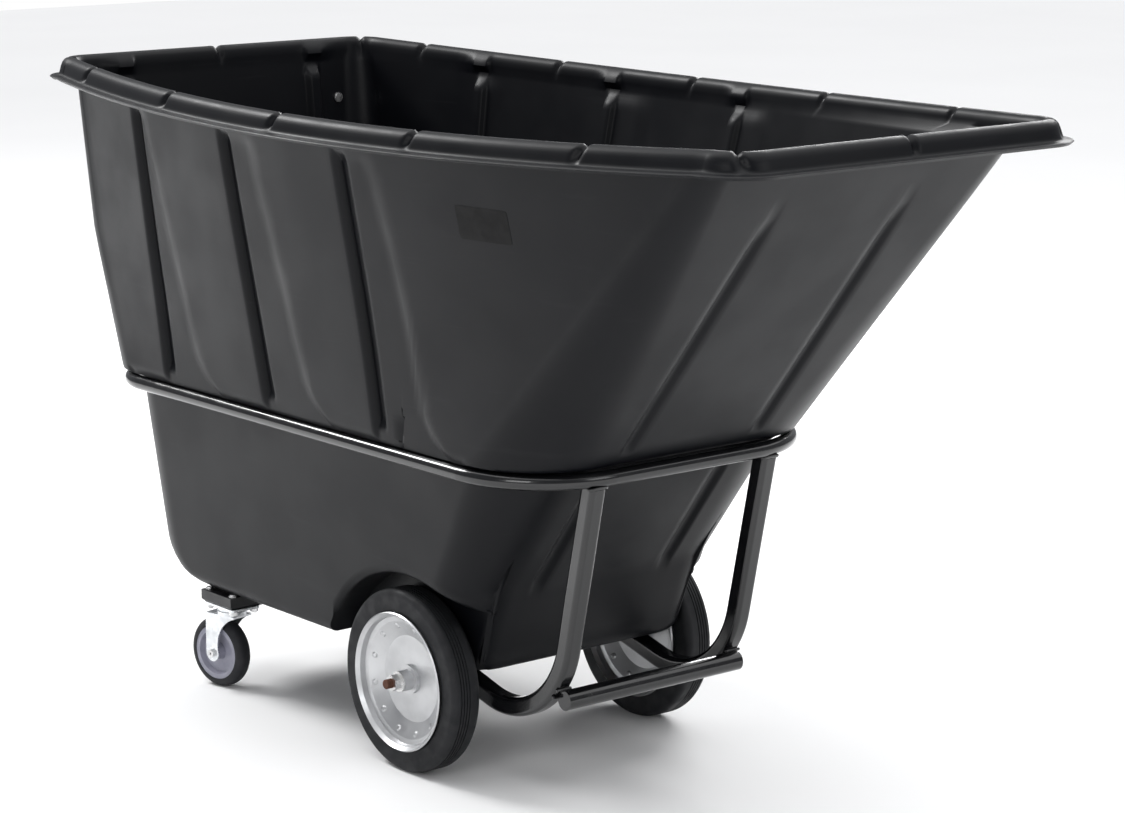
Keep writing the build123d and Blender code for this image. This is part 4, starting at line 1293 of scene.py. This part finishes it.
@dataclass
class Studio:
    """The pale flat floor, the soft lights and the camera."""

    camera_place: Point3 = (4.0885, -3.220, 1.643)
    camera_turn: float = 50.958
    camera_dip: float = 11.667
    camera_roll: float = -0.029
    lens: float = 102.34
    sensor: float = 36.0
    floor_half: float = 14.0
    air_strength: float = 0.30
    lights: list[SoftBox] = field(default_factory=lambda: [
        SoftBox("overhead_softbox", (0.2, -0.2, 4.6), (0.0, 0.0, 0.6), 4.5, 3.4, 60.0),
        SoftBox("back_strip", (-2.2, 4.6, 3.4), (0.0, 0.2, 1.0), 3.2, 0.7, 170.0),
        SoftBox("left_high_softbox", (-4.6, -1.6, 4.4), (0.1, -0.2, 0.9), 2.2, 1.3, 260.0),
        SoftBox("near_softbox", (2.6, -5.4, 2.6), (0.0, 0.0, 0.6), 2.6, 2.0, 70.0),
        SoftBox("dump_end_softbox", (5.2, 1.6, 2.6), (0.4, 0.0, 0.5), 2.4, 1.8, 30.0)])

    def build_floor(self) -> None:
        """Model the plain floor as one flat sheet."""
        count = 24

        def place(column: int, row: int) -> Point3:
            """Return a corner of the floor sheet."""
            x = mix(-self.floor_half, self.floor_half, column / count)
            y = mix(-self.floor_half, self.floor_half, row / count)
            return x, y, 0.0

        floor = shaped_grid("studio_floor", count, count, place)
        smooth_by_angle(floor, 60.0)
        graph = Graph("studio_floor_white")
        tint = graph.spread(graph.noise(0.8, 3.0), 0.3, 0.7, 0.0, 1.0)
        graph.colour(graph.blend(tint, (0.89, 0.89, 0.89), (0.905, 0.905, 0.905)))
        graph.fixed(Roughness=0.9, Specular_IOR_Level=0.1)
        floor.data.materials.append(graph.material)

    def build_world(self) -> None:
        """Set the even light that comes from all round."""
        world = bpy.data.worlds.new("studio_air")
        world.use_nodes = True
        tree = world.node_tree
        background = tree.nodes["Background"]
        background.inputs["Color"].default_value = (0.93, 0.95, 1.0, 1.0)
        background.inputs["Strength"].default_value = self.air_strength
        backdrop = tree.nodes.new("ShaderNodeBackground")
        backdrop.inputs["Color"].default_value = (1.0, 1.0, 1.0, 1.0)
        rays = tree.nodes.new("ShaderNodeLightPath")
        choice = tree.nodes.new("ShaderNodeMixShader")
        tree.links.new(rays.outputs["Is Camera Ray"], choice.inputs[0])
        tree.links.new(background.outputs[0], choice.inputs[1])
        tree.links.new(backdrop.outputs[0], choice.inputs[2])
        tree.links.new(choice.outputs[0], tree.nodes["World Output"].inputs["Surface"])
        bpy.context.scene.world = world
        bpy.context.scene.view_settings.view_transform = "Standard"
        bpy.context.scene.view_settings.look = "None"

    def build_camera(self) -> None:
        """Place the camera by its turn about Z, its dip and its roll."""
        turn = math.radians(self.camera_turn)
        dip = math.radians(self.camera_dip)
        back = Vector((math.sin(turn) * math.cos(dip), -math.cos(turn) * math.cos(dip), math.sin(dip)))
        right = (-back).cross(Vector((0.0, 0.0, 1.0))).normalized()
        up = right.cross(-back)
        roll = math.radians(self.camera_roll)
        across = right * math.cos(roll) + up * math.sin(roll)
        above = up * math.cos(roll) - right * math.sin(roll)
        data = bpy.data.cameras.new("view_camera")
        data.lens = self.lens
        data.sensor_width = self.sensor
        data.sensor_fit = "HORIZONTAL"
        data.clip_end = 200.0
        camera = bpy.data.objects.new("view_camera", data)
        bpy.context.scene.collection.objects.link(camera)
        matrix = Matrix((across, above, back)).transposed().to_4x4()
        matrix.translation = Vector(self.camera_place)
        camera.matrix_world = matrix
        bpy.context.scene.camera = camera

    def build(self) -> None:
        """Build the whole studio."""
        self.build_camera()
        self.build_world()
        self.build_floor()
        EvenSky().build()
        for light in self.lights:
            light.build()


# ================================================================ build
def dress_frame(frame: dict, dresser: Dresser) -> None:
    """Give every CAD node its slot's finish.

    Args:
        dresser: The finishes.
    """
    slots = {entry["node"]: entry["material_slot"] for entry in frame["record"]["subparts"]}
    for name, node in frame["nodes"].items():
        dresser.paint(node, slots[name])


def main() -> None:
    """Build the truck's looks in order."""
    logging.basicConfig(level=logging.INFO, format="%(message)s")
    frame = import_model()
    dresser = Dresser()
    dress_frame(frame, dresser)
    spins = {joint["name"]: joint for joint in frame["joints"]}
    axle = spins["main_wheel_right_spin"]["pos_m"]
    Studio().build()
    Tub(TubShape(axle[0], axle[2]), dresser).build()
    FrameWelds(dresser, axle[0]).build()


if __name__ == "__main__":
    main()
